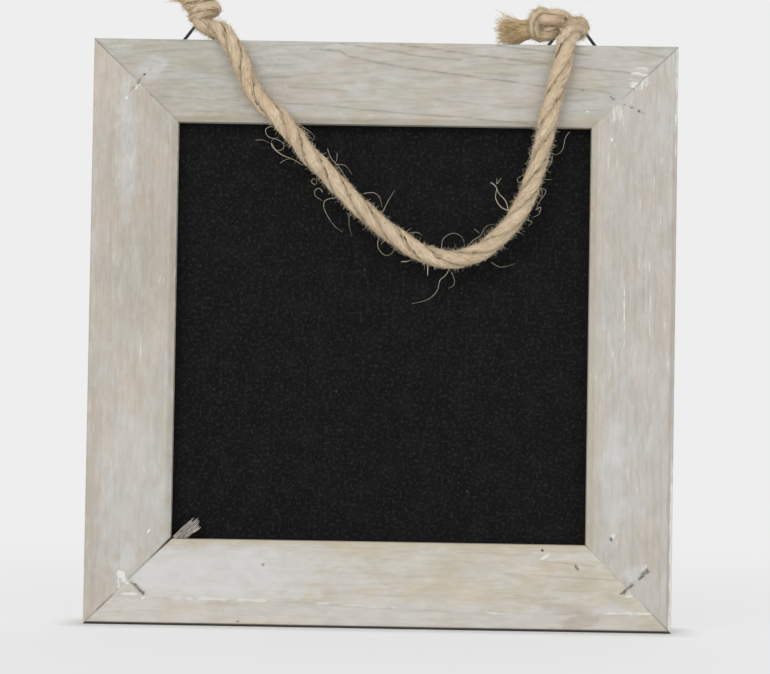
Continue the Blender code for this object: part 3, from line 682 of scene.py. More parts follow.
class Finishes:
    """Every material of the object.

    A noise is named by what it draws; its three factors are waves in a metre or, where the place is
    a mesh attribute, in a millimetre. A span is named by what it picks out of the noise.
    """

    def __init__(self) -> None:
        """Build the shared groups and the materials."""
        self.groups = Groups()
        self.wood = {side: self.build_wood(side, finish) for side, finish in WOOD_FINISHES.items()}
        self.chalk = self.build_chalk()
        self.wire = self.build_lacquer("black_wire_lacquer", colour(34, 33, 34), 0.42)
        self.strap = self.build_lacquer("black_strap_lacquer", colour(44, 44, 45), 0.5)
        self.staple = self.build_steel("staple_steel_wire", colour(150, 146, 140), 0.60)
        self.point = self.build_steel("panel_point_steel", colour(168, 167, 163), 0.42)
        self.screw = self.build_steel("screw_zinc", colour(176, 170, 152), 0.38)
        self.rope = self.build_jute()
        self.hair = self.build_hair("jute_hair", colour(240, 230, 206), colour(206, 188, 154))
        self.fray = self.build_hair("jute_fray", colour(250, 230, 190), colour(208, 180, 136))
        self.torn = self.build_torn()

    def build_wood(self, side: Side, finish: WoodFinish) -> Material:
        """Build one rail's whitewashed wood from its finish and the rail's own masks."""
        material, graph, shader = new_material(f"washed_{side.value}", specular=0.3)
        place = graph.place_of("grain_place")
        grain = Groups.use(graph, self.groups.grain, place=place, rings=graph.value_of("ring_count"))
        fibres, mottle = grain.outputs["Fibres"], grain.outputs["Mottle"]
        wear = Groups.use(graph, self.groups.wear, place=place, fibres=fibres, level=finish.wash_level,
                          extra=graph.value_of("wash"))
        cover = wear.outputs["Cover"]
        shade = graph.blend(graph.span(grain.outputs["Tone"], 0.38, 0.62), finish.warm, finish.olive)
        shade = graph.blend(graph.times(cover, 0.8), shade, finish.cool)
        shade = graph.blend(1.0, shade, graph.span(fibres, 0.30, 0.68, 0.955, 1.02), "MULTIPLY")
        shade = graph.blend(1.0, shade, graph.span(mottle, 0.34, 0.66, 0.945, 1.03), "MULTIPLY")
        lines = graph.times(grain.outputs["Lines"], finish.ring_strength)
        film = graph.times(graph.value_of("wash"), graph.span(mottle, 0.30, 0.62, 0.55, 1.0))
        drawn = graph.span(graph.noise(place, (0.22, 0.9, 0.9), 3.0, 0.6), 0.34, 0.60, 0.25, 1.0)
        chips = graph.span(graph.noise(place, (0.17, 0.95, 0.95), 3.0, 0.65), 0.36, 0.64, 0.0, 0.5)
        layers = (
            (lines, finish.ring),
            (graph.times(grain.outputs["Pores"], 0.22), finish.ring),
            (film, finish.film),
            (graph.value_of("bare"), finish.bare),
            (graph.value_of("stain"), finish.stain),
            (graph.times(graph.value_of("line"), drawn), finish.ring),
            (graph.times(grain.outputs["Flecks"], finish.fleck_strength), finish.chalk),
            # Ridge white: partly worn wash, partly painted highlight
            (graph.span(graph.plus(graph.value_of("rubbed"), chips), 0.70, 1.10), finish.chalk),
            # The chalk layer: real white marks, and the painted highlight on the right rail's outer edge and
            # painted light on the left lip
            (graph.span(graph.plus(graph.value_of("chalk"), chips), 0.52, 1.0), finish.chalk),
            # The near-black layer: real soot and dark joints, and painted shade at the foot and in open slots
            (graph.value_of("soot"), finish.soot),
        )
        for share, tone in layers:
            shade = graph.blend(share, shade, tone)
        graph.feed(shader.inputs["Base Color"], shade)
        graph.feed(shader.inputs["Roughness"], graph.span(cover, 0.0, 1.0, 0.68, 0.84))
        height = graph.minus(graph.times(fibres, 0.8), graph.times(lines, 0.25))
        height = graph.minus(height, graph.times(grain.outputs["Pores"], 0.3))
        height = graph.plus(height, graph.times(grain.outputs["Flecks"], 0.25))
        bump(graph, shader, height, 0.2 * MILLIMETRE, 0.5)
        return material

    def build_chalk(self) -> Material:
        """Build the panel: finely grained black paint in front and brown hardboard behind."""
        material, graph, shader = new_material("chalk_paint", specular=0.12)
        place = graph.object_place()
        grit = graph.noise(place, (900.0, 900.0, 900.0), 3.0, 0.65)
        broad = graph.noise(place, (160.0, 160.0, 160.0), 3.0, 0.6)
        paint = graph.blend(graph.span(grit, 0.45, 0.76), colour(9, 9, 10), colour(46, 46, 47))
        paint = graph.blend(graph.span(broad, 0.42, 0.75, 0.0, 0.12), paint, colour(52, 51, 52))
        cells = graph.cells(place, (330.0, 330.0, 330.0))
        chosen = graph.span(graph.part(cells.outputs["Color"], 0), 0.965, 0.975)
        speck = graph.times(chosen, graph.span(cells.outputs["Distance"], 0.10, 0.03))
        paint = graph.blend(graph.times(speck, 0.5), paint, colour(140, 140, 140))
        fibre = graph.noise(place, (180.0, 900.0, 420.0), 4.0, 0.6)
        board = graph.blend(graph.span(fibre, 0.3, 0.7), colour(96, 66, 42), colour(128, 92, 60))
        front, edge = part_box("chalkboard_panel")[0].y, 0.4 * MILLIMETRE
        behind = graph.span(graph.part(place, 1), front + edge, front + 2 * edge)
        graph.feed(shader.inputs["Base Color"], graph.blend(behind, paint, board))
        graph.feed(shader.inputs["Roughness"], graph.span(grit, 0.3, 0.7, 0.66, 0.86))
        bump(graph, shader, grit, 0.12 * MILLIMETRE, 0.5)
        return material

    def build_lacquer(self, name: str, tone: tuple, roughness: float) -> Material:
        """Build black lacquer with a slightly uneven gloss and a few dull rubs."""
        material, graph, shader = new_material(name, roughness)
        place = graph.object_place()
        rub = graph.noise(place, (900.0, 900.0, 900.0), 3.0, 0.6)
        shade = graph.blend(graph.span(rub, 0.55, 0.75), tone, colour(86, 84, 82))
        graph.feed(shader.inputs["Base Color"], shade)
        graph.feed(shader.inputs["Roughness"], graph.span(rub, 0.3, 0.7, roughness - 0.08, roughness + 0.14))
        bump(graph, shader, rub, 0.03 * MILLIMETRE, 0.4)
        return material

    def build_steel(self, name: str, tone: tuple, roughness: float) -> Material:
        """Build dull plated steel with drawn lines and faint tarnish."""
        material, graph, shader = new_material(name, roughness, 0.85)
        place = graph.object_place()
        tarnish = graph.noise(place, (600.0, 600.0, 600.0), 4.0, 0.65)
        dark = tuple(level * 0.55 for level in tone[:3])
        shade = graph.blend(graph.span(tarnish, 0.42, 0.68), tone, (*dark, 1.0))
        gloss = graph.span(tarnish, 0.3, 0.7, roughness - 0.06, roughness + 0.16)
        graph.feed(shader.inputs["Base Color"], shade)
        graph.feed(shader.inputs["Roughness"], gloss)
        bump(graph, shader, graph.noise(place, (2400.0, 2400.0, 400.0), 2.0, 0.5), 0.02 * MILLIMETRE, 0.5)
        return material

    def build_jute(self) -> Material:
        """Build the rope: pale fibres along each strand, painted shade in the grooves and dark dashes of painted
        shade there, browner ends.
        """
        material, graph, shader = new_material("jute_strands", 0.9, specular=0.15)
        place = graph.place_of("rope_place")
        fibres = graph.noise(place, (0.34, 2.2, 2.2), 4.0, 0.7, 0.6)
        broad = graph.noise(place, (0.10, 0.30, 0.30), 3.0, 0.6)
        shade = graph.blend(graph.span(fibres, 0.32, 0.62), colour(208, 182, 146), colour(242, 224, 194))
        shade = graph.blend(graph.span(broad, 0.42, 0.62, 0.0, 0.5), shade, colour(226, 194, 166))
        # Painted shade: the grooves between the strands are darkened, and dark dashes in them stand for the shade
        # in the gaps
        groove = graph.value_of("groove")
        shade = graph.blend(graph.times(groove, 0.16), shade, colour(160, 132, 94))
        dashes = graph.span(graph.noise(place, (0.34, 0.9, 0.9), 3.0, 0.6), 0.545, 0.625)
        gaps = graph.times(dashes, graph.span(groove, 0.15, 0.75))
        shade = graph.blend(graph.times(gaps, 0.9), shade, colour(96, 72, 44))
        pits = graph.span(graph.noise(place, (0.50, 1.5, 1.5), 3.0, 0.6), 0.60, 0.70)
        shade = graph.blend(graph.times(pits, 0.55), shade, colour(134, 106, 72))
        shade = graph.blend(graph.value_of("fray"), shade, colour(206, 184, 138))
        graph.feed(shader.inputs["Base Color"], shade)
        height = graph.minus(fibres, graph.times(gaps, 0.6))
        bump(graph, shader, height, 0.45 * MILLIMETRE, 1.0)
        return material

    def build_hair(self, name: str, light: tuple, dark: tuple) -> Material:
        """Build the loose fibres, each with its own tone between a light and a dark one."""
        material, graph, shader = new_material(name, 0.75, specular=0.3)
        graph.feed(shader.inputs["Base Color"], graph.blend(graph.value_of("fibre_tone"), light, dark))
        return material

    def build_torn(self) -> Material:
        """Build the torn grey wood of the splinter."""
        material, graph, shader = new_material("torn_wood", 0.85)
        place = graph.place_of("grain_place")
        fibres = graph.noise(place, (0.25, 2.4, 2.4), 4.0, 0.65)
        shade = graph.blend(graph.span(fibres, 0.35, 0.65), colour(152, 144, 136), colour(214, 208, 202))
        shade = graph.blend(graph.value_of("tip"), shade, colour(224, 220, 214))
        graph.feed(shader.inputs["Base Color"], shade)
        bump(graph, shader, fibres, 0.3 * MILLIMETRE, 0.9)
        return material


class Assembly:
    """A sub-assembly of the object, built in its materials."""

    def __init__(self, finishes: Finishes) -> None:
        """Keep the materials."""
        self.finishes = finishes


# Frame


def onward(start: float, end: float, steps: int) -> Array:
    """Return even steps from just after start up to end."""
    return np.linspace(start, end, steps + 1)[1:]


def turned_axes(x: Array, z: Array, middle: Pair, degrees: float) -> tuple[Array, Array]:
    """Return how far points lie along and across a line through a middle that is turned by an angle."""
    turn = math.radians(degrees)
    from_x, from_z = x - middle[0], z - middle[1]
    return from_x * math.cos(turn) + from_z * math.sin(turn), from_z * math.cos(turn) - from_x * math.sin(turn)


@dataclass(frozen=True)
class MarkEdge:
    """How a mark's outline wavers and fades.

    Each wave is a share of the mark's reach, its noise's spacings and its seed. The mark is full
    inside the first share of its half size and gone outside the second.
    """

    waves: tuple[tuple[float, Pair, int], ...]
    full: float
    gone: float


RAGGED_EDGE = MarkEdge(((0.22, (0.0008, 0.0008), 61),), 0.80, 1.25)
SOFT_EDGE = MarkEdge(((0.25, (0.0040, 0.0025), 62), (0.12, (0.0012, 0.0008), 63)), 0.55, 1.35)


@dataclass(frozen=True)
class FaceMark:
    """A mark on the frame's front face: an ellipse, in millimetres and degrees."""

    kind: MarkKind
    x: float
    z: float
    length: float
    width: float
    turn: float
    depth: float
    strength: float
    side: Side | None = None

    def mask(self, x: Array, z: Array) -> Array:
        """Return the mark's strength at points: 1 inside, falling off at the ellipse's edge."""
        along, across = turned_axes(x / MILLIMETRE, z / MILLIMETRE, (self.x, self.z), self.turn)
        edge = SOFT_EDGE if self.kind is MarkKind.WASH else RAGGED_EDGE
        waver = sum(share * cloud(x, z, spacings, seed) for share, spacings, seed in edge.waves)
        reach = 2.0 * np.hypot(along / self.length, across / self.width) * (1.0 + waver)
        return self.strength * ease(-reach, -edge.gone, -edge.full)


@dataclass(frozen=True)
class ThinLine:
    """A thin line along the grain of the frame's face, through places as x and z in millimetres."""

    kind: MarkKind
    width: float
    strength: float
    places: tuple[Pair, ...]
    cover: float = 0.85
    full: float = 0.15
    gone: float = 1.25

    def mask(self, x: Array, z: Array) -> Array:
        """Return the line's strength at points: full near it, and gone at a share of its width away."""
        reach = np.full(x.shape, np.inf)
        knots = np.array(self.places) * MILLIMETRE
        for start, run in zip(knots[:-1], np.diff(knots, axis=0)):
            from_x, from_z = x - start[0], z - start[1]
            share = np.clip((from_x * run[0] + from_z * run[1]) / (run @ run), 0.0, 1.0)
            reach = np.minimum(reach, np.hypot(from_x - share * run[0], from_z - share * run[1]))
        return self.cover * self.strength * ease(-reach / (self.width * MILLIMETRE), -self.gone, -self.full)


@dataclass(frozen=True)
class Mitre:
    """A corner's joint: its gap at both ends, where it begins to open, and how dark it is.

    The shades are pairs of a share of the way inward and a darkness.
    """

    outer_gap: float
    inner_gap: float
    opens: float
    shades: tuple[Pair, ...]


@dataclass(frozen=True)
class StapleSlot:
    """The slot over one staple: its slope, where along the crown it is open or filled, and how dark its open part
    is painted as painted shade.
    """

    node: str
    slope: float
    open_runs: tuple[Pair, ...]
    half_width: float
    soot: float
    half_length: float = 0.0066
    depth: float = 0.0006
    ragged: float = 0.00035
    bend_spacing: float = 0.0021
    edge_spacing: float = 0.0008
    inside: float = 0.0003
    past_end: float = 0.0002
    past_edge: float = 0.0001

    def mask(self, x: Array, z: Array, seed: int) -> Array:
        """Return 1 where the slot is open: inside its ragged outline and one of its open runs.

        The open runs are shares of the half crown, from -1 at its left end to 1 at its right.
        """
        low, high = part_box(self.node)
        along, across = turned_axes(x, z, ((low.x + high.x) / 2, (low.z + high.z) / 2), self.slope)
        across = across + self.ragged * cloud(x, z, (self.bend_spacing,) * 2, seed)
        edge = self.half_width + self.ragged * cloud(x, z, (self.edge_spacing,) * 2, seed + 50)
        runs = np.zeros_like(x)
        for start, end in self.open_runs:
            within = np.minimum(along - start * self.half_length, end * self.half_length - along)
            runs = np.maximum(runs, ease(within, -self.past_end, self.inside))
        return runs * ease(edge - np.abs(across), -self.past_edge, self.inside)


@dataclass(frozen=True)
class RailMould:
    """One rail's own sizes: its band, ridge, mitres, growth rings and outer round.

    The ridge line holds places along the rail and the ridge's distance from the outer edge, both in
    millimetres; the ridge white runs hold such places and how far the ridge is whitened there, partly
    worn wash and partly painted highlight.
    """

    side: Side
    ridge_line: tuple[Pair, ...]
    band_drop: float
    ridge_step: float
    start: Mitre
    end: Mitre
    rings_across: float
    ring_slope: float
    rubbed_runs: tuple[Pair, ...]
    round_width: float = 0.0010
    round_depth: float = 0.0010

    @staticmethod
    def spread(table: tuple[Pair, ...], along: Array) -> Array:
        """Return a table's second column at places along the rail, by its first one in millimetres."""
        places, levels = np.array(table).T
        return np.interp(along, places * MILLIMETRE, levels)


TOP_LEFT = Mitre(
    0.00002, 0.00002, 0.9,
    ((0.0, 0.15), (0.05, 0.38), (0.36, 0.36), (0.46, 0.15), (0.5, 0.0), (0.64, 0.0), (0.68, 0.35), (0.9, 0.2),
     (1.0, 0.0)),
)
TOP_RIGHT = Mitre(
    0.00002, 0.00002, 0.9,
    ((0.0, 0.25), (0.1, 0.1), (0.16, 0.36), (0.52, 0.4), (0.6, 0.1), (0.85, 0.0), (1.0, 0.1)),
)
BOTTOM_LEFT = Mitre(
    0.00002, 0.00032, 0.76,
    ((0.0, 0.1), (0.14, 0.25), (0.17, 0.7), (0.34, 0.5), (0.37, 0.0), (0.48, 0.05), (0.53, 0.35), (0.76, 0.5),
     (1.0, 0.9)),
)
BOTTOM_RIGHT = Mitre(
    0.00002, 0.00002, 0.9,
    ((0.0, 0.5), (0.12, 0.4), (0.3, 0.2), (0.36, 0.0), (0.6, 0.0), (0.66, 0.2), (0.8, 0.0), (0.93, 0.05),
     (1.0, 0.45)),
)


# Marks on the frame's face: x, z, length, width, turn in degrees, depth, strength, and its rail if it
# stays on one. Lengths are in millimetres.
FACE_MARKS: dict[MarkKind, tuple[tuple, ...]] = {
    MarkKind.SOOT: (
        (67.4, 22, 2.1, 1, -55, 0.3, 0.6),
        (79, 31.7, 1.3, 0.9, -60, 0.3, 0.75),
        (55.8, 27.7, 0.9, 0.9, 0, 0.2, 0.9),
        (-38.9, 21.2, 1.1, 0.7, -50, 0.2, 0.7),
        (-47.2, 1.7, 0.8, 0.7, 0, 0.1, 0.65),
        (67.2, 184.3, 0.9, 0.6, 0, 0.1, 0.45),
    ),
    MarkKind.CHALK: (
        (79.7, 32.9, 2.2, 1.4, 30, 0, 0.55),
        (56.9, 25.5, 3.8, 1, 28, 0, 1),
        (69, 177.1, 1, 1, 0, 0, 0.7),
        (77.3, 167.6, 1.4, 1.4, 0, 0, 0.65),
        (-78, 32, 1.8, 0.7, 50, 0, 0.85),
        (-87.2, 17, 3.4, 2.6, -50, -0.3, 1),
        (-85.8, 15, 3.6, 1.8, -38, -0.2, 0.9),
        (-87.6, 13.8, 1.6, 3.4, 0, 0, 0.6),
        (-83.8, 10.4, 6, 1.2, 0, 0, 0.55),
        (-79.3, 9.3, 1.8, 1, 30, 0, 0.85),
        (-88.5, 179.5, 1.2, 1, 0, 0, 0.9),
        (-84.6, 183.5, 2.6, 0.9, 50, 0, 0.7),
        (90.5, 22.2, 3.2, 1, 60, 0, 0.75),
        (85, 12.4, 3, 0.8, 8, 0, 0.7),
        (86.8, 188.5, 9, 7, 70, 0, 0.42),
        (79.6, 176, 9, 7, 80, 0, 0.32),
    ),
    MarkKind.WASH: (
        (-80, 189.5, 11, 7, 40, 0, 0.5),
        (86.6, 20.2, 6, 5, 40, 0, 0.45),
        (-57, 18.2, 68, 17.5, 0, 0, 0.8, Side.BOTTOM),
        (-24, 17.5, 40, 12, 0, 0, 0.14, Side.BOTTOM),
        (0, 4.6, 170, 8.4, 0, 0, 0.22, Side.BOTTOM),
        (-83.5, 45, 60, 26, 90, 0, 0.24, Side.LEFT),
        (-85, 23, 12, 7, 90, 0, 0.4, Side.LEFT),
        (79.3, 54, 42, 8, 90, 0, 0.35),
        (-88, 161, 46, 7, 90, 0, 0.4),
    ),
    MarkKind.LINE: (
        (-67, 187, 60, 32, 0, 0, 0.17, Side.TOP),
        (-83, 140, 75, 32, 90, 0, 0.15, Side.LEFT),
        (83, 140, 70, 32, 90, 0, 0.09, Side.RIGHT),
    ),
    MarkKind.STAIN: (
        (69, 3.4, 12, 4.4, 10, 0, 0.3),
        (65.5, 8, 17, 4, 0, 0, 0.2),
        (-65.5, 27.2, 7, 2.6, 20, 0, 0.2),
        (-97, 50, 90, 5, 90, 0, 0.12),
    ),
}

# Thin lines on the face: width, strength, and the places as x and z. Lengths are in millimetres.
FACE_LINES: dict[MarkKind, tuple[tuple, ...]] = {
    MarkKind.LINE: (
        (0.4, 0.6, (-15.7, 199.4), (-4.5, 197.9), (11.5, 195.3), (25.7, 194.2)),
        (0.6, 0.7, (-25.6, 197.3), (-16, 196.8), (-13, 194.9), (-5.9, 193.4), (7.8, 191.1)),
        (0.5, 0.75, (7.8, 191.1), (15.4, 190.2), (25.7, 189), (33.5, 188), (43.9, 186.9)),
        (0.4, 0.6, (43.9, 186.9), (54.3, 185.6), (65, 184.9), (76.7, 183.7)),
        (0.6, 0.65, (4.9, 199.1), (14.1, 198.1), (27.1, 196.3), (36.8, 195.2), (56.8, 193.2)),
        (0.5, 0.6, (56.8, 193.2), (72, 191.6), (86.8, 190.4)),
        (0.5, 0.6, (38.2, 199.3), (46.7, 198.3), (57.5, 197.1), (70, 196.6)),
        (0.4, 0.4, (-42.5, 187.4), (-32.9, 187.2)),
        (0.5, 0.4, (-32.8, 184), (-18.7, 183.3), (-12.8, 182.8)),
        (0.4, 0.5, (-33.8, 178.3), (-21.6, 177.9), (-7.1, 176.6), (11.8, 175.2)),
        (0.4, 0.6, (11.8, 175.2), (25.3, 174.7), (33.4, 173.9), (48.6, 172.8)),
        (0.5, 0.35, (30.5, 190), (45.4, 189.1)),
        (0.5, 0.35, (14.8, 180.5), (20, 180.4), (37, 178.6), (49.6, 177.9)),
        (0.4, 0.35, (-98.7, 198.9), (-92.5, 194.9), (-83.9, 193.6), (-77, 191.7), (-71.9, 190)),
        (0.5, 0.25, (-93.5, 195), (-66.1, 190.5)),
        (0.5, 0.45, (-70, 175.2), (-56, 175), (-40, 173.8)),
        (0.5, 0.5, (-80.2, 180.3), (-68.3, 179.8), (-58, 179.3), (-49.5, 179.1)),
        (0.4, 0.45, (78.5, 199.5), (94.9, 196.3)),
        (0.5, 0.4, (-93.2, 139.3), (-92.6, 111.8)),
        (0.6, 0.3, (-86.2, 131.5), (-85.7, 108)),
        (0.5, 0.35, (-79.7, 151.3), (-79.5, 141.4)),
        (0.5, 0.3, (-92.3, 104), (-92.1, 96.2)),
        (0.5, 0.35, (88.6, 132.3), (88.9, 108.9)),
        (0.4, 0.35, (56, 24), (74, 22.6)),
        (0.5, 0.28, (43, 19.6), (81, 18)),
    ),
    MarkKind.CHALK: (
        (0.4, 0.6, (-81.8, 96.3), (-81.7, 90.6)),
        (0.4, 0.75, (82.4, 117.4), (82.6, 97)),
        (0.5, 0.45, (96.4, 105.9), (97.1, 94.2)),
    ),
    MarkKind.STAIN: (
        (0.6, 0.45, (98.7, 170), (98.8, 142.3), (98.8, 99.3), (98.4, 2)),
    ),
}


class WoodFrame(Assembly):
    """The four mitred rails, carved as height fields over their front and closed round the back."""

    back_round = 0.0005
    chamfer_width = 0.0018
    chamfer_depth = 0.0012
    lip_depth = 0.006
    rebate_width = 0.0055
    step_along = 0.0005
    step_across = 0.00026
    undulation = 0.00006
    band_room = 0.0034
    ridge_wander, ridge_spacing = 0.00025, 0.006
    ridge_foot, ridge_crest = 0.0002, 0.0003
    # How far the ridge's white spreads, worn wash and painted highlight alike
    rubbed_spread = 0.00055
    hidden_bareness = 0.35
    seam_reach = 0.0006
    first_slot_seed = 91

    # Points of the section: the outer round and the chamfer, then the steps from there on
    round_points, chamfer_points = 7, 6
    lip_steps, ledge_steps, wall_steps, back_steps, turn_steps, side_steps = 4, 3, 6, 21, 4, 17

    # How bare the lip beside the panel is, and how far in that reaches
    lips = {
        Side.TOP: (0.22, 0.0030),
        Side.BOTTOM: (0.50, 0.0010),
        Side.LEFT: (0.0, 0.0010),
        Side.RIGHT: (0.32, 0.0024),
    }
    # How dark the arris beside the lip is, how far that spreads, and how far it lies off the chamfer
    arris_stain, arris_spread, arris_offset = 0.15, 0.00025, 0.0001
    # How dark the foot is painted, as painted shade where it meets the floor, and up to which height
    foot_soot, foot_height = 0.95, 0.0010
    # How white the left lip's edge is painted, partly whitewash and partly painted light that lifts the
    # shade on the lip, and the distances from its inner edge over which that fades in
    left_lip_chalk, left_lip_fade = 0.35, (0.0005, 0.0002)
    # How white the lower and upper runs of the right rail's outer edge are painted, a painted highlight
    # on that rounded edge, the heights over which they fade, and the distances in from the edge
    low_edge_chalk, low_edge_fade = 0.75, (0.075, 0.045)
    high_edge_chalk, high_edge_fade = 0.55, (0.145, 0.175)
    edge_fade = (0.0013, 0.0008)
    # The broad and the fine waves of the face: their spacings along and across, and the fine share
    broad_waves, fine_waves, fine_share = (0.030, 0.006), (0.008, 0.0012), 0.5
    # How far the grain runs on round the rail's hidden faces, in widths of the rail
    grain_round = 2.2
    # The bare lip fades in between these shares of its reach, and the foot above this share of its height
    lip_fade, foot_fade = (1.4, 0.8), 0.7

    moulds = (
        RailMould(
            Side.BOTTOM,
            ((-100, 9.5), (-38, 9), (-19, 8.3), (30, 6), (62, 6.3), (100, 7)),
            0.0010, 0.00022, BOTTOM_LEFT, BOTTOM_RIGHT, 0.26, 0.010,
            ((-85, 0), (-84, 0.45), (-71.6, 0.35), (-70.5, 0.75), (-67.2, 0.75), (-66.6, 0.4),
             (-64.6, 0.4), (-64.2, 0.95), (-63, 0.95), (-62.6, 0.4), (-61.3, 0.5), (-60.7, 1.1),
             (-51.4, 1.1), (-50.6, 0.3), (-47.4, 0.4), (-46.8, 1.1), (-38.2, 1.1), (-37.2, 0.45),
             (-23, 0.4), (-20, 0.62), (6, 0.62), (12, 0.35),
             (31, 0.4), (36, 0.65), (50, 0.6), (56, 0.35), (75, 0.4), (78, 0.95), (86, 0.95),
             (87, 0.5), (89, 1), (94.5, 1), (95.5, 0)),
            0.0015, 0.0015,
        ),
        RailMould(
            Side.TOP,
            ((-100, 5.2), (-45, 6.4), (60, 0.4), (78, 0.4), (96, 4), (100, 4.2)),
            0.0005, 0.00006, TOP_LEFT, TOP_RIGHT, 0.30, 0.062,
            ((-100, 0), (100, 0)),
        ),
        RailMould(
            Side.LEFT,
            ((-100, 9.8), (-58, 9.3), (-24, 8.8), (44, 8), (100, 7)),
            0.0009, 0.00010, BOTTOM_LEFT, TOP_LEFT, 0.42, 0.004,
            ((-100, 0), (-80, 0.35), (0, 0.3), (80, 0.35), (100, 0)),
        ),
        RailMould(
            Side.RIGHT,
            ((-100, 9.2), (-55, 9.5), (13, 8.7), (64, 7.7), (90, 6), (100, 4.4)),
            0.0009, 0.00014, BOTTOM_RIGHT, TOP_RIGHT, 0.42, -0.006,
            ((-100, 0), (-60, 0.3), (0, 0.45), (80, 0.45), (100, 0)),
            0.0015, 0.0010,
        ),
    )

    slots = (
        StapleSlot(
            "staple_top_left", 49.6, ((-1.0, -0.55), (-0.40, 0.02), (0.12, 0.30), (0.55, 0.95)), 0.00026, 0.20
        ),
        StapleSlot(
            "staple_top_right", -27.0, ((-1.02, -0.66), (-0.25, -0.12), (0.10, 0.32), (0.55, 1.0)), 0.00030, 0.30
        ),
        StapleSlot("staple_bottom_left", -42.2, ((-0.05, 0.95),), 0.00062, 0.15),
        StapleSlot("staple_bottom_right", 42.8, ((-1.0, -0.16), (0.20, 0.92)), 0.00052, 0.62),
    )

    marks = tuple(FaceMark(kind, *row) for kind, rows in FACE_MARKS.items() for row in rows)
    lines = tuple(ThinLine(kind, *row[:2], row[2:]) for kind, rows in FACE_LINES.items() for row in rows)

    def __init__(self, finishes: Finishes) -> None:
        """Read the frame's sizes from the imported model."""
        super().__init__(finishes)
        low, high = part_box(Side.BOTTOM.value)
        self.front_y, self.back_y = low.y, high.y
        self.rail_width = high.z - low.z
        top_low, top_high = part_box(Side.TOP.value)
        self.height = top_high.z
        self.top_width = top_high.z - top_low.z
        self.half_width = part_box(Side.RIGHT.value)[1].x

    def width_of(self, side: Side) -> float:
        """Return a rail's width."""
        return self.top_width if side is Side.TOP else self.rail_width

    def world(self, side: Side, along: Array, inward: Array) -> tuple[Array, Array]:
        """Return x and z of points given along a rail, from its middle, and in from its outer edge."""
        if side is Side.BOTTOM:
            return along, inward
        if side is Side.TOP:
            return along, self.height - inward
        if side is Side.LEFT:
            return inward - self.half_width, along + self.height / 2
        return self.half_width - inward, along + self.height / 2

    def section(self, width: float, round_width: float) -> tuple[Array, Array, int]:
        """Return a rail's cross-section as (in from the outer edge, back from the front) arrays.

        The first run crosses the front from the outer edge to the inner one, finer over the outer
        round and the chamfer. The rest goes back along the lip, round the rebate and the back face,
        and forward again along the outer side. The last number says how many points the front has.
        """
        depth = self.back_y - self.front_y
        arc = np.linspace(0.0, math.pi / 2, self.round_points)
        round_w = round_width * (1 - np.cos(arc))
        flat_w = np.arange(round_width + self.step_across, width - self.chamfer_width, self.step_across)
        chamfer_w = np.linspace(width - self.chamfer_width, width, self.chamfer_points)
        front = np.concatenate([round_w, flat_w, chamfer_w])
        inner_back = width - self.rebate_width
        lip_y = onward(self.chamfer_depth, self.lip_depth, self.lip_steps)
        ledge_w = onward(width, inner_back, self.ledge_steps)
        wall_y = onward(self.lip_depth, depth, self.wall_steps)
        back_w = onward(inner_back, self.back_round, self.back_steps)
        turn = onward(0.0, math.pi / 2, self.turn_steps)
        turn_w = self.back_round * (1 - np.sin(turn))
        turn_y = depth - self.back_round * (1 - np.cos(turn))
        side_y = onward(depth - self.back_round, self.band_room, self.side_steps)
        lip_w, wall_w = np.full(self.lip_steps, width), np.full(self.wall_steps, inner_back)
        ledge_y, back_y = np.full(self.ledge_steps, self.lip_depth), np.full(self.back_steps, depth)
        side_w = np.zeros(self.side_steps)
        inward = np.concatenate([front, lip_w, ledge_w, wall_w, back_w, turn_w, side_w])
        back = np.concatenate([np.zeros(len(front)), lip_y, ledge_y, wall_y, back_y, turn_y, side_y])
        return inward, back, len(front)

    def front_drop(self, mould: RailMould, along: Array, inward: Array, seed: int) -> Array:
        """Return how far the front lies behind the face's highest plane.

        The band outside the ridge slopes back to the outer edge, with a small step at the ridge; a
        quarter circle rounds the outer edge, a chamfer eases the inner one, and broad noise waves
        the rest.
        """
        width = self.width_of(mould.side)
        ridge = mould.spread(mould.ridge_line, along) * MILLIMETRE
        ridge += self.ridge_wander * drift(along[:, 0], self.ridge_spacing, seed)[:, None]
        outside = np.clip(1.0 - inward / ridge, 0.0, 1.0)
        step = mould.ridge_step * ease(ridge - inward, -self.ridge_foot, self.ridge_crest)
        bend = np.clip(1.0 - inward / mould.round_width, 0.0, 1.0)
        rounding = mould.round_depth * (1.0 - np.sqrt(1.0 - bend**2))
        chamfer = np.clip((inward - width + self.chamfer_width) / self.chamfer_width, 0.0, 1.0)
        waves = cloud(along, inward, self.broad_waves, seed + 1)
        waves = waves + self.fine_share * cloud(along, inward, self.fine_waves, seed + 2)
        drop = mould.band_drop * outside + step + rounding + self.chamfer_depth * chamfer
        return drop + self.undulation * (1 + waves)

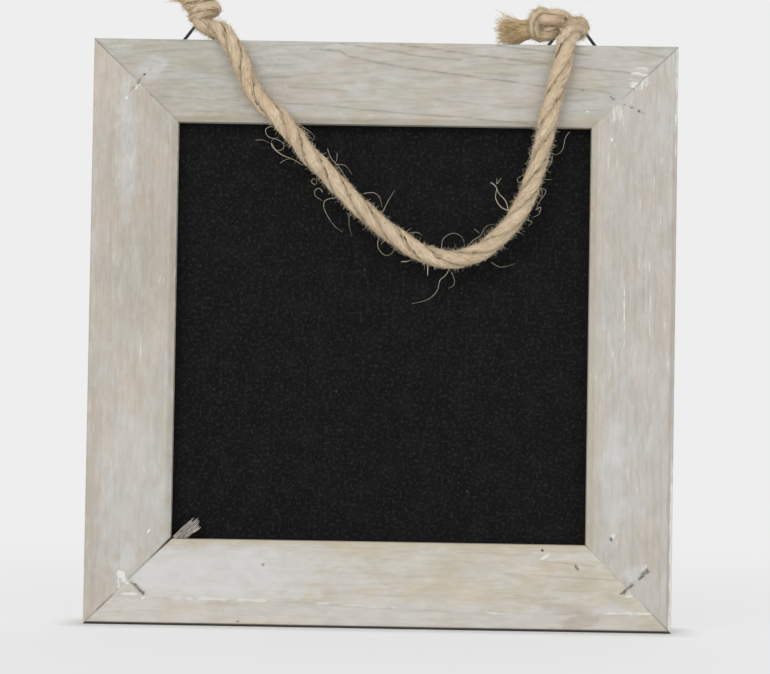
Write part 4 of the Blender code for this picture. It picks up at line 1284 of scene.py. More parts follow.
    def build_rail(self, mould: RailMould, seed: int) -> Piece:
        """Build one rail with its masks, and let it stand for the plain one."""
        side = mould.side
        width = self.width_of(side)
        section_w, section_back, fronts = self.section(width, mould.round_width)
        half = self.half_width if side in (Side.BOTTOM, Side.TOP) else self.height / 2
        stations = round(2 * half / self.step_along)
        share = np.linspace(0.0, 1.0, stations)[:, None]
        inward = np.repeat(section_w[None, :], stations, axis=0)
        lean_start, lean_end = self.leans(side)
        gap_start, gap_end = (
            np.interp(section_w / width, [mitre.opens, 1.0], [mitre.outer_gap, mitre.inner_gap])
            for mitre in (mould.start, mould.end)
        )
        start = -half + section_w * lean_start + gap_start
        end = half - section_w * lean_end - gap_end
        along = start * (1 - share) + end * share
        back = np.repeat(section_back[None, :], stations, axis=0)
        back[:, :fronts] = self.front_drop(mould, along[:, :fronts], inward[:, :fronts], seed)
        x, z = self.world(side, along, inward)
        masks = self.masks(mould, along, inward, x, z, fronts)
        back[:, :fronts] += masks.pop("sunk")[:, :fronts]
        points = np.stack([x, self.front_y + back, z], axis=-1)
        mirrored = side in (Side.TOP, Side.LEFT)
        faces = grid_quads(stations, len(section_w), closed=True, flipped=mirrored).tolist()
        ring = np.arange(len(section_w))
        last = ring + (stations - 1) * len(section_w)
        caps = [ring[::-1].tolist(), last.tolist()]
        faces += [cap[::-1] for cap in caps] if mirrored else caps
        piece = new_piece(f"washed_{side.value}_wood", points, faces)
        for name, values in masks.items():
            set_values(piece, name, values)
        dress(piece, self.finishes.wood[side], "frame")
        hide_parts(side.value)
        return piece

    def leans(self, side: Side) -> Pair:
        """Return how far each mitre runs along the rail for a step inward: 1 at 45 degrees."""
        if side is Side.TOP:
            lean = self.rail_width / self.top_width
            return lean, lean
        if side is Side.BOTTOM:
            return 1.0, 1.0
        return 1.0, self.top_width / self.rail_width

    def masks(self, mould: RailMould, along: Array, inward: Array, x: Array, z: Array,
              fronts: int) -> dict[str, Array]:
        """Return each mask of a rail's wood over its points, and how far marks sink its face.

        Args:
            mould: the rail's sizes.
            along: distance along the rail from its middle.
            inward: distance in from its outer edge.
            x: place to the right.
            z: place upward.
            fronts: how many points of each station lie on the front.

        Returns:
            The attributes of the wood's material, and the depth named sunk.
        """
        width = self.width_of(mould.side)
        front = np.zeros_like(along)
        front[:, :fronts] = 1.0
        finish = WOOD_FINISHES[mould.side]
        columns = along.shape[1]
        hidden_way = np.linspace(0.0, self.grain_round * width, columns - fronts)
        round_way = np.concatenate([np.zeros(fronts), hidden_way])
        across = inward + round_way[None, :]
        grain = np.stack([along, across, np.zeros_like(along)], axis=-1) / MILLIMETRE
        rings = (inward / MILLIMETRE + mould.ring_slope * along / MILLIMETRE) * mould.rings_across
        ridge = mould.spread(mould.ridge_line, along) * MILLIMETRE
        # White along the ridge: partly worn white wash, partly a painted highlight on the ridge's step
        rubbed = np.exp(-(((inward - ridge) / self.rubbed_spread) ** 2))
        rubbed = rubbed * mould.spread(mould.rubbed_runs, along)
        arris = width - self.chamfer_width - self.arris_offset
        strength, spread = self.lips[mould.side]
        bare = strength * ease(inward, *(width - level * spread for level in self.lip_fade))
        values = {
            "grain_place": grain + np.array(finish.grain_start),
            "ring_count": rings,
            "rubbed": rubbed * front,
            "bare": bare * front + self.hidden_bareness * (1 - front),
            "stain": self.arris_stain * np.exp(-(((inward - arris) / self.arris_spread) ** 2)) * front,
            "soot": self.seams(mould, along, inward) * front,
            **{name: np.zeros_like(along) for name in ("wash", "chalk", "line", "sunk")},
        }
        # Painted highlight: the right rail's rounded outer edge is whitened low down and near the top
        if mould.side is Side.RIGHT:
            low_lit = self.low_edge_chalk * ease(-z, *(-level for level in self.low_edge_fade))
            lit = low_lit + self.high_edge_chalk * ease(z, *self.high_edge_fade)
            values["chalk"] = lit * ease(-inward, *(-level for level in self.edge_fade)) * front
        # Partly whitewash, partly painted light: the left rail's lip beside the panel is whitened against its
        # shade
        if mould.side is Side.LEFT:
            values["chalk"] = self.left_lip_chalk * ease(inward, *(width - level for level in self.left_lip_fade))
        # Painted shade: the bottom rail's lowest millimetre is darkened for the crevice between its rounded foot
        # and the floor
        if mould.side is Side.BOTTOM:
            foot = self.foot_soot * ease(-inward, -self.foot_height, -self.foot_fade * self.foot_height)
            values["soot"] = np.maximum(values["soot"], foot)
        for mark in self.marks:
            if mark.side not in (None, mould.side):
                continue
            cover = mark.mask(x, z) * front
            values[mark.kind.value] = np.maximum(values[mark.kind.value], cover)
            values["sunk"] += cover * mark.depth * MILLIMETRE
        for line in self.lines:
            values[line.kind.value] = np.maximum(values[line.kind.value], line.mask(x, z) * front)
        for number, slot in enumerate(self.slots):
            opened = slot.mask(x, z, self.first_slot_seed + number) * front
            values["sunk"] = np.maximum(values["sunk"], opened * slot.depth)
            # An open slot is painted dark: painted shade in the recess over the staple
            values["soot"] = np.maximum(values["soot"], slot.soot * opened)
            values["chalk"] = values["chalk"] * (1 - opened)
        return values

    def seams(self, mould: RailMould, along: Array, inward: Array) -> Array:
        """Return the darkness beside a rail's two mitres, by each mitre's own shades."""
        inset = inward / self.width_of(mould.side)
        dark = np.zeros_like(along)
        for mitre, away in ((mould.start, along - along[:1]), (mould.end, along[-1:] - along)):
            shades = np.array(mitre.shades)
            shade = np.interp(inset, shades[:, 0], shades[:, 1])
            dark = np.maximum(dark, shade * ease(-away, -self.seam_reach, 0.0))
        return dark

    def build(self) -> None:
        """Build the four rails."""
        for number, mould in enumerate(self.moulds):
            self.build_rail(mould, 10 * number + 1)


class Splinter(Assembly):
    """The torn sliver that stands out over the panel at the bottom left corner."""

    root = (-0.0688, 0.0290)
    tip = (-0.0603, 0.0362)
    width = 0.0034
    thickness = 0.0008
    front_y = -0.0056
    fibres = 9
    stations = 28
    sides = 8
    seed = 77
    # Shares of the sliver's length: the shortest fibre, and how far the bow and chance lengthen it
    least_reach, bowed_reach, chance_reach = 0.86, 0.10, 0.10
    last_fibre_extra = 0.0012
    lift, lane_scatter, lane_wave = 0.0012, 0.00015, 0.0001
    spread_at_root, spread_gain = 0.9, 0.25
    overlap = 0.62
    # The fibres' bow across the sliver, and their wave along it and from one to the next
    bow_turn, wave_along, wave_across = 5.0, 9.0, 7.0
    # A fibre thins out, and pales, over these shares of its length, and by how much it does
    thins, pales = (0.86, 1.0), (0.88, 0.97)
    thinning, paling, size_spread = 0.75, 0.8, (0.8, 1.2)
    # How far apart the fibres lie in the grain
    grain_apart = 0.002

    def build(self) -> None:
        """Build the sliver as flat fibres side by side that end at different lengths."""
        rng = np.random.default_rng(self.seed)
        root, tip = np.array(self.root), np.array(self.tip)
        along = unit(tip - root)
        across = np.array([-along[1], along[0]])
        lane = np.linspace(-0.5, 0.5, self.fibres)[:, None]
        share = np.linspace(0.0, 1.0, self.stations)[None, :]
        chance = self.chance_reach * rng.uniform(-1, 1, (self.fibres, 1))
        bowed = self.bowed_reach * np.cos(self.bow_turn * lane)
        reach = np.linalg.norm(tip - root) * (self.least_reach + bowed + chance)
        reach[-1] += self.last_fibre_extra
        travel = reach * share
        spread = self.width * (self.spread_at_root + self.spread_gain * share)
        sideways = lane * spread + self.lane_wave * np.sin(self.wave_along * share + self.wave_across * lane)
        place_y = self.front_y - self.lift * share**2 + self.lane_scatter * rng.normal(size=(self.fibres, 1))
        place_x, place_z = (root[k] + along[k] * travel + across[k] * sideways for k in range(2))
        paths = np.stack([place_x, place_y, place_z], axis=-1)
        angles = np.linspace(0.0, FULL_TURN, self.sides, endpoint=False)
        half, flat = self.overlap * self.width / self.fibres, self.thickness / 2
        oval = half * flat / np.sqrt((half * np.sin(angles)) ** 2 + (flat * np.cos(angles)) ** 2)
        taper = 1.0 - self.thinning * ease(share, *self.thins)
        reaches = oval * taper[..., None] * rng.uniform(*self.size_spread, (self.fibres, 1, 1))
        start = np.repeat(np.array([[across[0], 0.0, across[1]]]), self.fibres, axis=0)
        points = tube_points(paths, reaches, start)
        piece = new_piece("torn_splinter", points, tube_faces(self.fibres, self.stations, self.sides))
        across_grain = sideways + self.grain_apart * lane
        place = np.stack([travel, across_grain, np.zeros_like(travel)], axis=-1) / MILLIMETRE
        set_values(piece, "grain_place", np.repeat(place[:, :, None], self.sides, axis=2))
        pale = np.broadcast_to(self.paling * ease(share, *self.pales)[..., None], points.shape[:3])
        set_values(piece, "tip", pale)
        dress(piece, self.finishes.torn, "frame")


class Fittings(Assembly):
    """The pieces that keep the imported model's own shape: panel, staples, points, straps and screws."""

    # By a part of the node's name: how wide its edges are eased, its finish and its slot
    kinds = (
        ("staple_", 0.00015, "staple", "staple_steel"),
        ("panel_point_", 0.00006, "point", "point_steel"),
        ("_strap", 0.00008, "strap", "strap_steel"),
        ("_screw", 0.00006, "screw", "screw_steel"),
    )

    def softened(self, node: str, width: float, material: Material, slot: str) -> None:
        """Copy a node, merge its loose triangles and round its edges a little."""
        source = frame["nodes"][node]
        mesh = source.data.copy()
        shape = bmesh.new()
        shape.from_mesh(mesh)
        bmesh.ops.remove_doubles(shape, verts=shape.verts, dist=1e-6)
        bmesh.ops.dissolve_limit(shape, angle_limit=math.radians(1), verts=shape.verts, edges=shape.edges)
        shape.to_mesh(mesh)
        shape.free()
        mesh.shade_smooth()
        mesh.set_sharp_from_angle(angle=SHARP_ANGLE)
        mesh.materials.clear()
        piece = linked(f"{node}_eased", mesh)
        modifier = piece.modifiers.new("eased_edges", "BEVEL")
        settings = {"width": width, "segments": 2, "limit_method": "ANGLE", "angle_limit": SHARP_ANGLE}
        for key, value in {**settings, "harden_normals": True}.items():
            setattr(modifier, key, value)
        dress(piece, material, source["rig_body"])
        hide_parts(node)

    def build(self) -> None:
        """Dress the panel and ease the edges of the small metal pieces."""
        panel = frame["nodes"]["chalkboard_panel"]
        panel.data.materials.clear()
        panel.data.materials.append(self.finishes.chalk)
        for node in sorted(frame["nodes"]):
            for part, width, finish, slot in self.kinds:
                if part in node:
                    self.softened(node, width, getattr(self.finishes, finish), slot)


class Rings(Assembly):
    """The two wire triangles that the rope hangs in."""

    wire_radius = 0.00055
    base = 0.0249
    height = 0.0164
    corner_round = 0.0025
    apex_round = 0.0062
    split = 0.0006
    sides = 20
    arc_steps = 16

    def outline(self) -> Array:
        """Return the wire's middle as (right, up) points from its hinge.

        It runs from the split in the base bar round the right corner, the apex and the left corner;
        each corner is an arc that touches both of its sides.
        """
        half = self.base / 2
        corners = [[self.split / 2, 0.0], [half, 0.0], [0.0, self.height], [-half, 0.0], [-self.split / 2, 0.0]]
        corners = np.array(corners)
        runs = [corners[:1]]
        for index, radius in ((1, self.corner_round), (2, self.apex_round), (3, self.corner_round)):
            to_last = unit(corners[index - 1] - corners[index])
            to_next = unit(corners[index + 1] - corners[index])
            half_angle = math.acos(float(to_last @ to_next)) / 2
            centre = corners[index] + unit(to_last + to_next) * radius / math.sin(half_angle)
            first = corners[index] + to_last * radius / math.tan(half_angle) - centre
            last = corners[index] + to_next * radius / math.tan(half_angle) - centre
            sweep = math.pi - 2 * half_angle
            share = np.linspace(0.0, 1.0, self.arc_steps)[:, None]
            arc = first * np.sin((1 - share) * sweep) + last * np.sin(share * sweep)
            runs.append(centre + arc / math.sin(sweep))
        runs.append(corners[-1:])
        return np.vstack(runs)

    def build(self) -> None:
        """Build both rings about their own hinges."""
        for joint in frame["joints"]:
            if not joint["name"].endswith("_ring_swing"):
                continue
            body = joint["child"]
            flat = self.outline()
            path = np.stack([flat[:, 0], np.zeros(len(flat)), flat[:, 1]], axis=1) + np.array(joint["pos_m"])
            reaches = np.full((1, len(path), self.sides), self.wire_radius)
            points = tube_points(path[None], reaches, SIDEWAYS)
            piece = new_piece(f"{body}_wire", points, tube_faces(1, len(path), self.sides))
            dress(piece, self.finishes.wire, body)
            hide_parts(body.replace("_ring", "_hanger_ring"))


# Rope


@dataclass(frozen=True)
class KnotWrap:
    """One turn of rope round a knot's core, in millimetres and degrees; its two ends dive inward."""

    place: float
    reach: float
    rope_radius: float
    lean: float
    lean_turn: float
    start: float
    turns: float
    advance: float


@dataclass(frozen=True)
class KnotLoop:
    """A bulge of rope over a knot, in millimetres, through places from the ring's top."""

    places: tuple[Vector, ...]
    rope_radius: float


@dataclass(frozen=True)
class RopeEnd:
    """One end of the rope, in millimetres: its way over the top edge, its knot and its frayed tail."""

    name: str
    ring: str
    over_top: tuple[Vector, ...]
    into_knot: tuple[Vector, ...]
    knot_centre: Vector
    knot_axis: Vector
    tail_axis: Vector
    tail_length: float
    wraps: tuple[KnotWrap, ...]
    loops: tuple[KnotLoop, ...]
    seed: int


@dataclass(frozen=True)
class Fuzz:
    """A batch of loose fibres along the rope."""

    name: str
    count: int
    shortest: float
    longest: float
    radius: float
    curl: float
    outward: float
    stations: int
    seed: int


class JuteRope(Assembly):
    """The three-strand rope: one piece from tail to tail, the knots' wraps and the loose fibres."""

    rope_radius = 0.003
    eye_rope_radius = 0.0016
    knot_rope_radius = 0.0023
    tail_rope_radius = 0.0029
    tail_swell = 1.22
    eye_radius = 0.0023
    eye_shift = 0.0040
    knot_length = 0.0115
    tail_start = 0.0012
    core_share = 0.5
    modelled_length = 0.315
    lay_length = 0.036
    station_spacing = 0.00035
    sides = 48
    strands = 3
    rope_seed = 7
    loop_seed_step = 20

    # The strands, in shares of the rope's radius: their centres' offset, their radius and their swell
    strand_offset, strand_radius, strand_swell = 0.30, 0.735, 0.08
    # How far the lay wanders, and the spacings of that and of every other drift along the strands
    lay_wander, lay_spacing, drift_spacing = 0.35, 0.014, 0.006
    # The yarns in a strand: their relief, their half waves across it, and how far those wander
    yarn_relief, yarn_waves, yarn_wander = 0.030, 7.0, 9.0
    # The fibres' relief: its share, and its spacings along and round the rope
    rough_waves = ((0.070, (0.0014, 0.22)), (0.060, (0.0032, 0.9)))
    # From the strand's middle, where its groove begins and where it is deepest, in radians
    groove_span = (0.55, 1.02)
    # How brown the two ends are, and the distances from the tip over which that fades
    fray_strength, fray_span = 0.75, (-0.012, -0.008)

    # Points of the half circle behind a ring, and where in the knot its first point lies
    eye_points, knot_share = 9, 0.45

    # A wrap's dive into its knot: over which share of its turn, to which shares of reach and radius
    wrap_stations, dive_share, dive_reach, dive_radius = 60, 0.12, 0.25, 0.7

    # A loose fibre: its sides, its tip's share of its radius, how its curl varies and its axis wanders
    hair_sides, hair_tip, curl_spread, axis_wander = 3, 0.35, (0.3, 1.5), 0.25
    # Where a fibre is rooted in the rope, as a share of its radius, and how its heading varies
    root_depth, heading_scatter, lean_spread = 0.86, 0.35, (0.3, 1.5)
    # The two powers by which the fibres' lengths lean to the short end
    length_power, length_bend = 0.7, 1.5
    # No fibre is rooted in so many stations at an end or, on a short route, in one part of so many
    bare_stations, bare_parts = 20, 6

    # A tail's brush: how many fibres of which radius, curl and stations, and how it spreads
    tail_fibres, tail_fibre_radius, tail_curl, tail_stations = 650, 0.00015, 1.1, 9
    tail_spread, tail_scatter, tail_overlap, tail_least = 0.13, 0.07, 0.0012, 0.55
    tail_root_depth, tail_root_share = 0.001, 1.05

    # The route over the front, from left to right: how far right of the left ring's middle, how far
    # out from the frame's front face, and how far below the frame's top edge, in millimetres
    drape_route = (
        (8.8, 2.4, 0.4), (10.6, 2.9, 3.4), (14.7, 3.2, 11.5), (18.9, 3.5, 19.7),
        (25.4, 3.5, 25.8), (31.6, 3.5, 32.6), (37.2, 3.6, 39.8), (43.9, 3.7, 46.2),
        (50.1, 3.9, 52.9), (56.9, 4.1, 59.1), (64, 4.3, 64.9), (71.6, 4.4, 70),
        (80, 4.6, 73.7), (88.9, 4.5, 74), (97.2, 4.4, 70.4), (104, 4.3, 64.3),
        (109.2, 4.1, 56.6), (112.6, 3.8, 48.1), (115.2, 3.6, 39.3), (117.2, 3.6, 30.3),
        (119.1, 3.5, 21.3), (121.3, 3.3, 12.3), (123.1, 2.9, 3.4), (123.7, 2.4, 0.4),
    )

    ends = (
        RopeEnd(
            "left",
            "left_ring_swing",
            ((6.7, -1, 2.6), (4.3, 2.6, 4.1), (2.2, 7, 5.2), (1.4, 11.6, 5.5)),
            ((-1, -4.4, 1.6), (-1, -7, 2.8)),
            (-1, -7.3, 2.5),
            (-0.45, 0.05, 0.89),
            (-0.72, -0.05, 0.69),
            8,
            (
                KnotWrap(-0.6, 3.3, 2.5, 0.1, 20, 100, 1.15, 0.6),
                KnotWrap(4, 3.2, 2.7, 0.1, 20, 160, 1.2, 0.6),
            ),
            (
                KnotLoop(
                    ((-2.6, -7.2, -1.2), (-1.4, -10.4, -2.6), (0.6, -11.2, -3.8),
                     (3, -10.6, -5), (5.2, -8.4, -6.6)),
                    2.3,
                ),
            ),
            301,
        ),
        RopeEnd(
            "right",
            "right_ring_swing",
            ((-1.9, -1.2, 3), (0.3, 2.4, 4.6), (2, 6.8, 5.6), (2.4, 11.6, 6)),
            ((-3, -4, 0.4), (-6, -6.9, 0)),
            (-9.8, -8.3, -1.4),
            (-1.0, 0.0, -0.16),
            (-1.0, -0.05, -0.20),
            12.2,
            (),
            (
                KnotLoop(
                    ((3.6, -3, -1.6), (2.8, -5.2, 0.2), (0.4, -7.2, -0.2),
                     (-2.6, -9, -1), (-5.6, -9.6, -2.6)),
                    2.4,
                ),
                KnotLoop(
                    ((-13, -6.2, -1.6), (-12.2, -10.6, 0), (-10, -11.6, 0.7),
                     (-7.6, -11.8, 1), (-5.4, -10.8, 1.2), (-3.6, -8.2, 0.6),
                     (-4.6, -6, -0.6)),
                    2.8,
                ),
                KnotLoop(
                    ((-6.8, -7.2, -2), (-7.8, -10, -3.4), (-9.3, -11, -4.4),
                     (-10.8, -10.6, -4.4), (-12.4, -9, -3.4), (-13, -6.5, -2)),
                    2.5,
                ),
                KnotLoop(
                    ((-9.5, -10, 3), (-11.6, -12.2, 2.8), (-13.6, -13, 1.2),
                     (-14.1, -13, -1.8), (-13.4, -12.2, -4.4), (-11.8, -9.8, -5.6)),
                    1.7,
                ),
            ),
            302,
        ),
    )

    # By batch: fibres, their shortest and longest, radius, curl, how far they stand out, and stations
    fuzz = (
        Fuzz("lying_fuzz", 6800, 0.0012, 0.0028, 0.00007, 1.0, 0.45, 5, 40),
        Fuzz("felted_fuzz", 6800, 0.0011, 0.0026, 0.00007, 1.6, 0.62, 5, 44),
        Fuzz("short_fuzz", 6800, 0.0010, 0.0022, 0.00006, 1.8, 0.95, 5, 41),
        Fuzz("curled_fuzz", 2200, 0.0018, 0.0036, 0.00006, 3.4, 0.8, 9, 43),
        Fuzz("long_fuzz", 230, 0.0028, 0.0058, 0.00005, 4.6, 0.8, 13, 42),
    )

    # Single hairs in front of the board: how far out, how far they bow, and how finely they are made
    stray_out, stray_bow, stray_spacing = 0.0040, 0.0015, 0.0002
    stray_stations, stray_sides, stray_seed = 30, 5, 55
    # How a single hair thins: its mean share of its radius, the swing about that, and over which turn
    stray_mean, stray_swing, stray_turn = 0.65, 0.35, 0.8 * math.pi
    # A hair's radius, and its places as x and z, in millimetres
    strays = (
        (0.06, (-29.3, 170.8), (-28.1, 170), (-25.6, 168.4), (-23.7, 166.3), (-25.5, 164.5)),
        (0.045, (-28.7, 169.6), (-27.7, 169.2), (-26, 167.1), (-24.3, 165.9)),
        (0.06, (-37.6, 170.3), (-40.4, 169), (-39.6, 166.5), (-37.1, 165.7), (-34.6, 164.5), (-34.1, 162.5),
         (-36.2, 161.8), (-38.3, 163.2), (-37.9, 165.7), (-35.9, 166.2)),
        (0.1, (-38.3, 164.1), (-37, 162), (-34.1, 160), (-30.4, 158.6), (-27.5, 156.8)),
        (0.045, (-43.7, 165.2), (-41.2, 165.2), (-38.7, 164.1)),
        (0.053, (-35.3, 157.5), (-33.7, 158.4), (-31.6, 159.2)),
        (0.06, (-19.3, 162.7), (-18, 159.4), (-15.1, 156.2), (-12.6, 152.5), (-9.2, 148.4), (-6.3, 146)),
        (0.053, (-16, 161.1), (-16, 159), (-16.8, 157.4)),
        (0.045, (-16.4, 157.4), (-13.1, 157), (-11, 154.2)),
        (0.068, (-6.7, 147.6), (-3.4, 147.9), (-1.4, 146.5), (-0.5, 143.2)),
        (0.06, (0, 142), (1.9, 145.7), (3.7, 148.8)),
        (0.053, (-23.2, 150.3), (-24.5, 151.1), (-23.9, 152.3), (-22.8, 151.7), (-22.8, 150.7), (-23.6, 150.2)),
        (0.068, (-16.6, 146), (-19.8, 145), (-20.2, 142.9), (-18.5, 139.2), (-16, 136), (-13.5, 134.4)),
        (0.045, (-12.4, 141), (-11.7, 140.2), (-11.5, 136.5), (-10.4, 133.2)),
        (0.06, (-20.7, 147.8), (-21.6, 149.1), (-23.2, 148.6), (-23.2, 146.6), (-20.7, 145)),
        (0.068, (-0.7, 132.9), (-1.5, 132.1), (-1.5, 129.2), (0.6, 126.8), (2.7, 127), (4.3, 129.3)),
        (0.06, (6.4, 124.6), (8.9, 124.8), (10.1, 126.1)),
        (0.045, (9.9, 134.3), (11.6, 134.6), (13.2, 133.8)),
        (0.053, (20.1, 129.1), (20.2, 132.1), (22.4, 134.1), (24.9, 134.4), (27.1, 132.7), (27.8, 129.9)),
        (0.068, (28.7, 130.1), (30.6, 132.3), (33.2, 134.1), (34, 135.8), (35.3, 137.3), (37.6, 137.8)),
        (0.068, (34.9, 132.4), (34.2, 135.4)),
        (0.045, (31, 136.2), (32.7, 134.7)),
        (0.12, (43, 142.4), (39.9, 143.7), (37.9, 147.1), (38.3, 150.2), (36.1, 152.1)),
        (0.12, (42.3, 142.9), (41.4, 145.9), (39, 148.4), (37.9, 151), (36.1, 152.1)),
        (0.06, (38.3, 151.5), (38.3, 153.6)),
        (0.06, (38.5, 151.7), (40, 153.9)),
        (0.068, (22.5, 122.2), (21.3, 120), (19.6, 118.7), (18.8, 115.2), (15.8, 112.1), (10.2, 110.5)),
        (0.16, (15.4, 123.8), (15.4, 120.1)),
        (0.053, (23.4, 121.4), (24.5, 118.3), (23.9, 116.6), (22.4, 115.9)),
        (0.038, (36.8, 125), (39.8, 123.3), (43.2, 124), (45, 124.7)),
        (0.053, (62.7, 169.6), (61.2, 167.4), (60.4, 163.5), (58.2, 161.7), (56.5, 162.6)),
        (0.068, (57, 161.3), (56.6, 158.7), (54.9, 156.5)),
        (0.053, (47.1, 152.5), (45.9, 152), (45.2, 153.3), (47.1, 154.6), (48.8, 155.5)),
        (0.038, (54, 153.4), (57.1, 153.3)),
        (0.06, (53.2, 150.4), (55, 149.6), (53.7, 146.9), (52, 143.9), (52.9, 142.2)),
        (0.053, (52.3, 151.3), (53.7, 149.1), (52.9, 145.6)),
        (0.06, (51.6, 143), (53.3, 143.9), (52.5, 141.3), (50.3, 140.4)),
        (0.053, (48.6, 139.5), (50.4, 138.7), (49.1, 137.3)),
        (0.12, (16.4, 130.3), (18.5, 129.1), (20.3, 128.2)),
        (0.038, (9.4, 134.5), (11.5, 134.8), (13.3, 133.7)),
        (0.053, (6.5, 124.8), (8.7, 124.9), (9.7, 125.5)),
    )

    def __init__(self, finishes: Finishes) -> None:
        """Read the rings' and the rope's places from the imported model."""
        super().__init__(finishes)
        places = {joint["name"]: np.array(joint["pos_m"]) for joint in frame["joints"]}
        self.hinges = {name: place for name, place in places.items() if name.endswith("_ring_swing")}
        self.apex_z = places["rope_lift"][2]
        low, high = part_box("top_rail")
        self.front_y, self.top_z = low.y, high.z

    def apex(self, end: RopeEnd) -> Array:
        """Return the top of an end's ring."""
        hinge = self.hinges[end.ring]
        return np.array([hinge[0], hinge[1], self.apex_z])

    def end_route(self, end: RopeEnd) -> Array:
        """Return an end's route with its radii, from the front arris to the tip of its tail.

        It runs over the top edge, under the ring's apex, up behind it in a half circle, forward
        into the knot and straight on along the tail.
        """
        apex = self.apex(end)
        over = np.array([apex[0], self.front_y, self.top_z]) + np.array(end.over_top) * MILLIMETRE
        share = np.linspace(0.0, 1.0, self.eye_points)
        angle = math.pi * (share - 0.5)
        shift = self.eye_shift * (0.5 - share)
        arc = np.stack([shift, self.eye_radius * np.cos(angle), self.eye_radius * np.sin(angle)], axis=1) + apex
        knot = apex + np.array([*end.into_knot, end.knot_centre]) * MILLIMETRE
        reach = self.knot_length / 2 + self.tail_start
        tip = reach + self.core_share * end.tail_length * MILLIMETRE
        reaches = [[self.knot_share * reach], [reach], [tip]]
        tail = knot[-1] + unit(np.array(end.tail_axis)) * reaches
        places = np.vstack([over, arc, knot, tail])
        radii = np.concatenate([
            np.linspace(self.rope_radius, self.eye_rope_radius, len(over)),
            np.full(len(arc), self.eye_rope_radius),
            np.full(len(knot), self.knot_rope_radius),
            self.tail_rope_radius * np.array([1.0, self.tail_swell, 1.0]),
        ])
        return np.column_stack([places, radii])

    def main_route(self) -> Array:
        """Return the whole rope's evenly spaced route with its radii, from left tail to right tail."""
        left, right = (self.end_route(end) for end in self.ends)
        start = self.hinges[self.ends[0].ring][0]
        across, out, below = np.array(self.drape_route).T * MILLIMETRE
        radii = np.full(len(across), self.rope_radius)
        drape = np.stack([start + across, self.front_y - out, self.top_z - below, radii], axis=1)
        return smooth_line(np.vstack([left[::-1], drape, right]), self.station_spacing)

    def strand_tube(self, name: str, route: Array, seed: int, frays: bool = False) -> Piece:
        """Build a three-strand rope along a route.

        The cross-section is the outline of three round strands about the middle, turned on by the
        lay. For a strand whose centre lies at offset c and whose radius is s, the outline's reach
        at angle a from it is c cos a plus the root of s squared less c squared sin squared a. The
        strands' sizes drift a little along the rope.

        Args:
            name: the piece's name.
            route: place and radius at each station.
            seed: seed of the drift.
            frays: whether its two ends turn brown.

        Returns:
            The closed mesh, with its grooves and its place along the fibres as attributes.
        """
        radii = route[:, 3:]
        travel = np.concatenate([[0.0], np.cumsum(np.linalg.norm(np.diff(route[:, :3], axis=0), axis=1))])
        wide = np.repeat(travel[:, None], self.sides, 1)
        third = FULL_TURN / self.strands
        angles = np.linspace(0.0, FULL_TURN, self.sides, endpoint=False)
        twist = FULL_TURN * travel / self.lay_length + self.lay_wander * drift(travel, self.lay_spacing, seed)
        turned = (angles[None, :] - twist[:, None]) % FULL_TURN
        strand = np.floor(turned / third)
        from_middle = turned - (strand + 0.5) * third
        drifts = [drift(travel, self.drift_spacing, seed + 1 + number) for number in range(self.strands)]
        swell = 1.0 + self.strand_swell * np.stack(drifts, axis=1)
        size = np.take_along_axis(swell, strand.astype(int), axis=1)
        offset = self.strand_offset * size
        round_part = np.sqrt((self.strand_radius * size) ** 2 - (offset * np.sin(from_middle)) ** 2)
        reach = offset * np.cos(from_middle) + round_part
        wander = self.yarn_wander * drift(travel, self.drift_spacing, seed + 5)[:, None]
        yarns = self.yarn_relief * np.sin(math.pi * self.yarn_waves * from_middle / third + wander)
        rough = sum(
            share * cloud(wide, turned, spacings, seed + 6 + number)
            for number, (share, spacings) in enumerate(self.rough_waves)
        )
        points = tube_points(route[None, :, :3], (radii * (reach + yarns + rough))[None], SIDEWAYS)
        piece = new_piece(name, points, tube_faces(1, len(route), self.sides), sharp=False)
        across = from_middle * radii / MILLIMETRE + STRAND_APART * strand
        outward = reach * radii / MILLIMETRE
        set_values(piece, "rope_place", np.stack([wide / MILLIMETRE, across, outward], axis=-1))
        set_values(piece, "groove", ease(np.abs(from_middle), *self.groove_span))
        frayed = self.fray_strength * float(frays) * ease(-np.minimum(wide, travel[-1] - wide), *self.fray_span)
        set_values(piece, "fray", frayed)
        return piece

    def wrap_route(self, end: RopeEnd, wrap: KnotWrap) -> Array:
        """Return a wrap's route: a leaning turn about the knot's axis whose ends dive inward.

        At angle a about the axis the route lies at the wrap's reach, drawn in towards the core over
        its first and last share, and stands along the axis at its place plus the lean times the
        cosine of a less the lean's own turn.
        """
        share = np.linspace(0.0, 1.0, self.wrap_stations)
        angle = math.radians(wrap.start) + FULL_TURN * wrap.turns * share
        dive = ease(share, 0.0, self.dive_share) * ease(1.0 - share, 0.0, self.dive_share)
        reach = wrap.reach * (self.dive_reach + (1 - self.dive_reach) * dive)
        lean = wrap.lean * np.cos(angle - math.radians(wrap.lean_turn))
        along = wrap.place + lean + wrap.advance * (share - 0.5)
        axis, side, front = self.cross_axes(end.knot_axis)
        spokes = side * np.cos(angle)[:, None] + front * np.sin(angle)[:, None]
        places = self.knot_middle(end) + (axis * along[:, None] + spokes * reach[:, None]) * MILLIMETRE
        radii = wrap.rope_radius * MILLIMETRE * (self.dive_radius + (1 - self.dive_radius) * dive)
        return smooth_line(np.column_stack([places, radii]), self.station_spacing)

    def knot_middle(self, end: RopeEnd) -> Array:
        """Return the middle of an end's knot."""
        return self.apex(end) + np.array(end.knot_centre) * MILLIMETRE

    @staticmethod
    def cross_axes(axis: Vector) -> tuple[Array, Array, Array]:
        """Return an axis at length one, a level direction square to it, and the one square to both."""
        along = unit(np.array(axis))
        side = unit(np.cross(along, SIDEWAYS[0]))
        return along, side, np.cross(side, along)

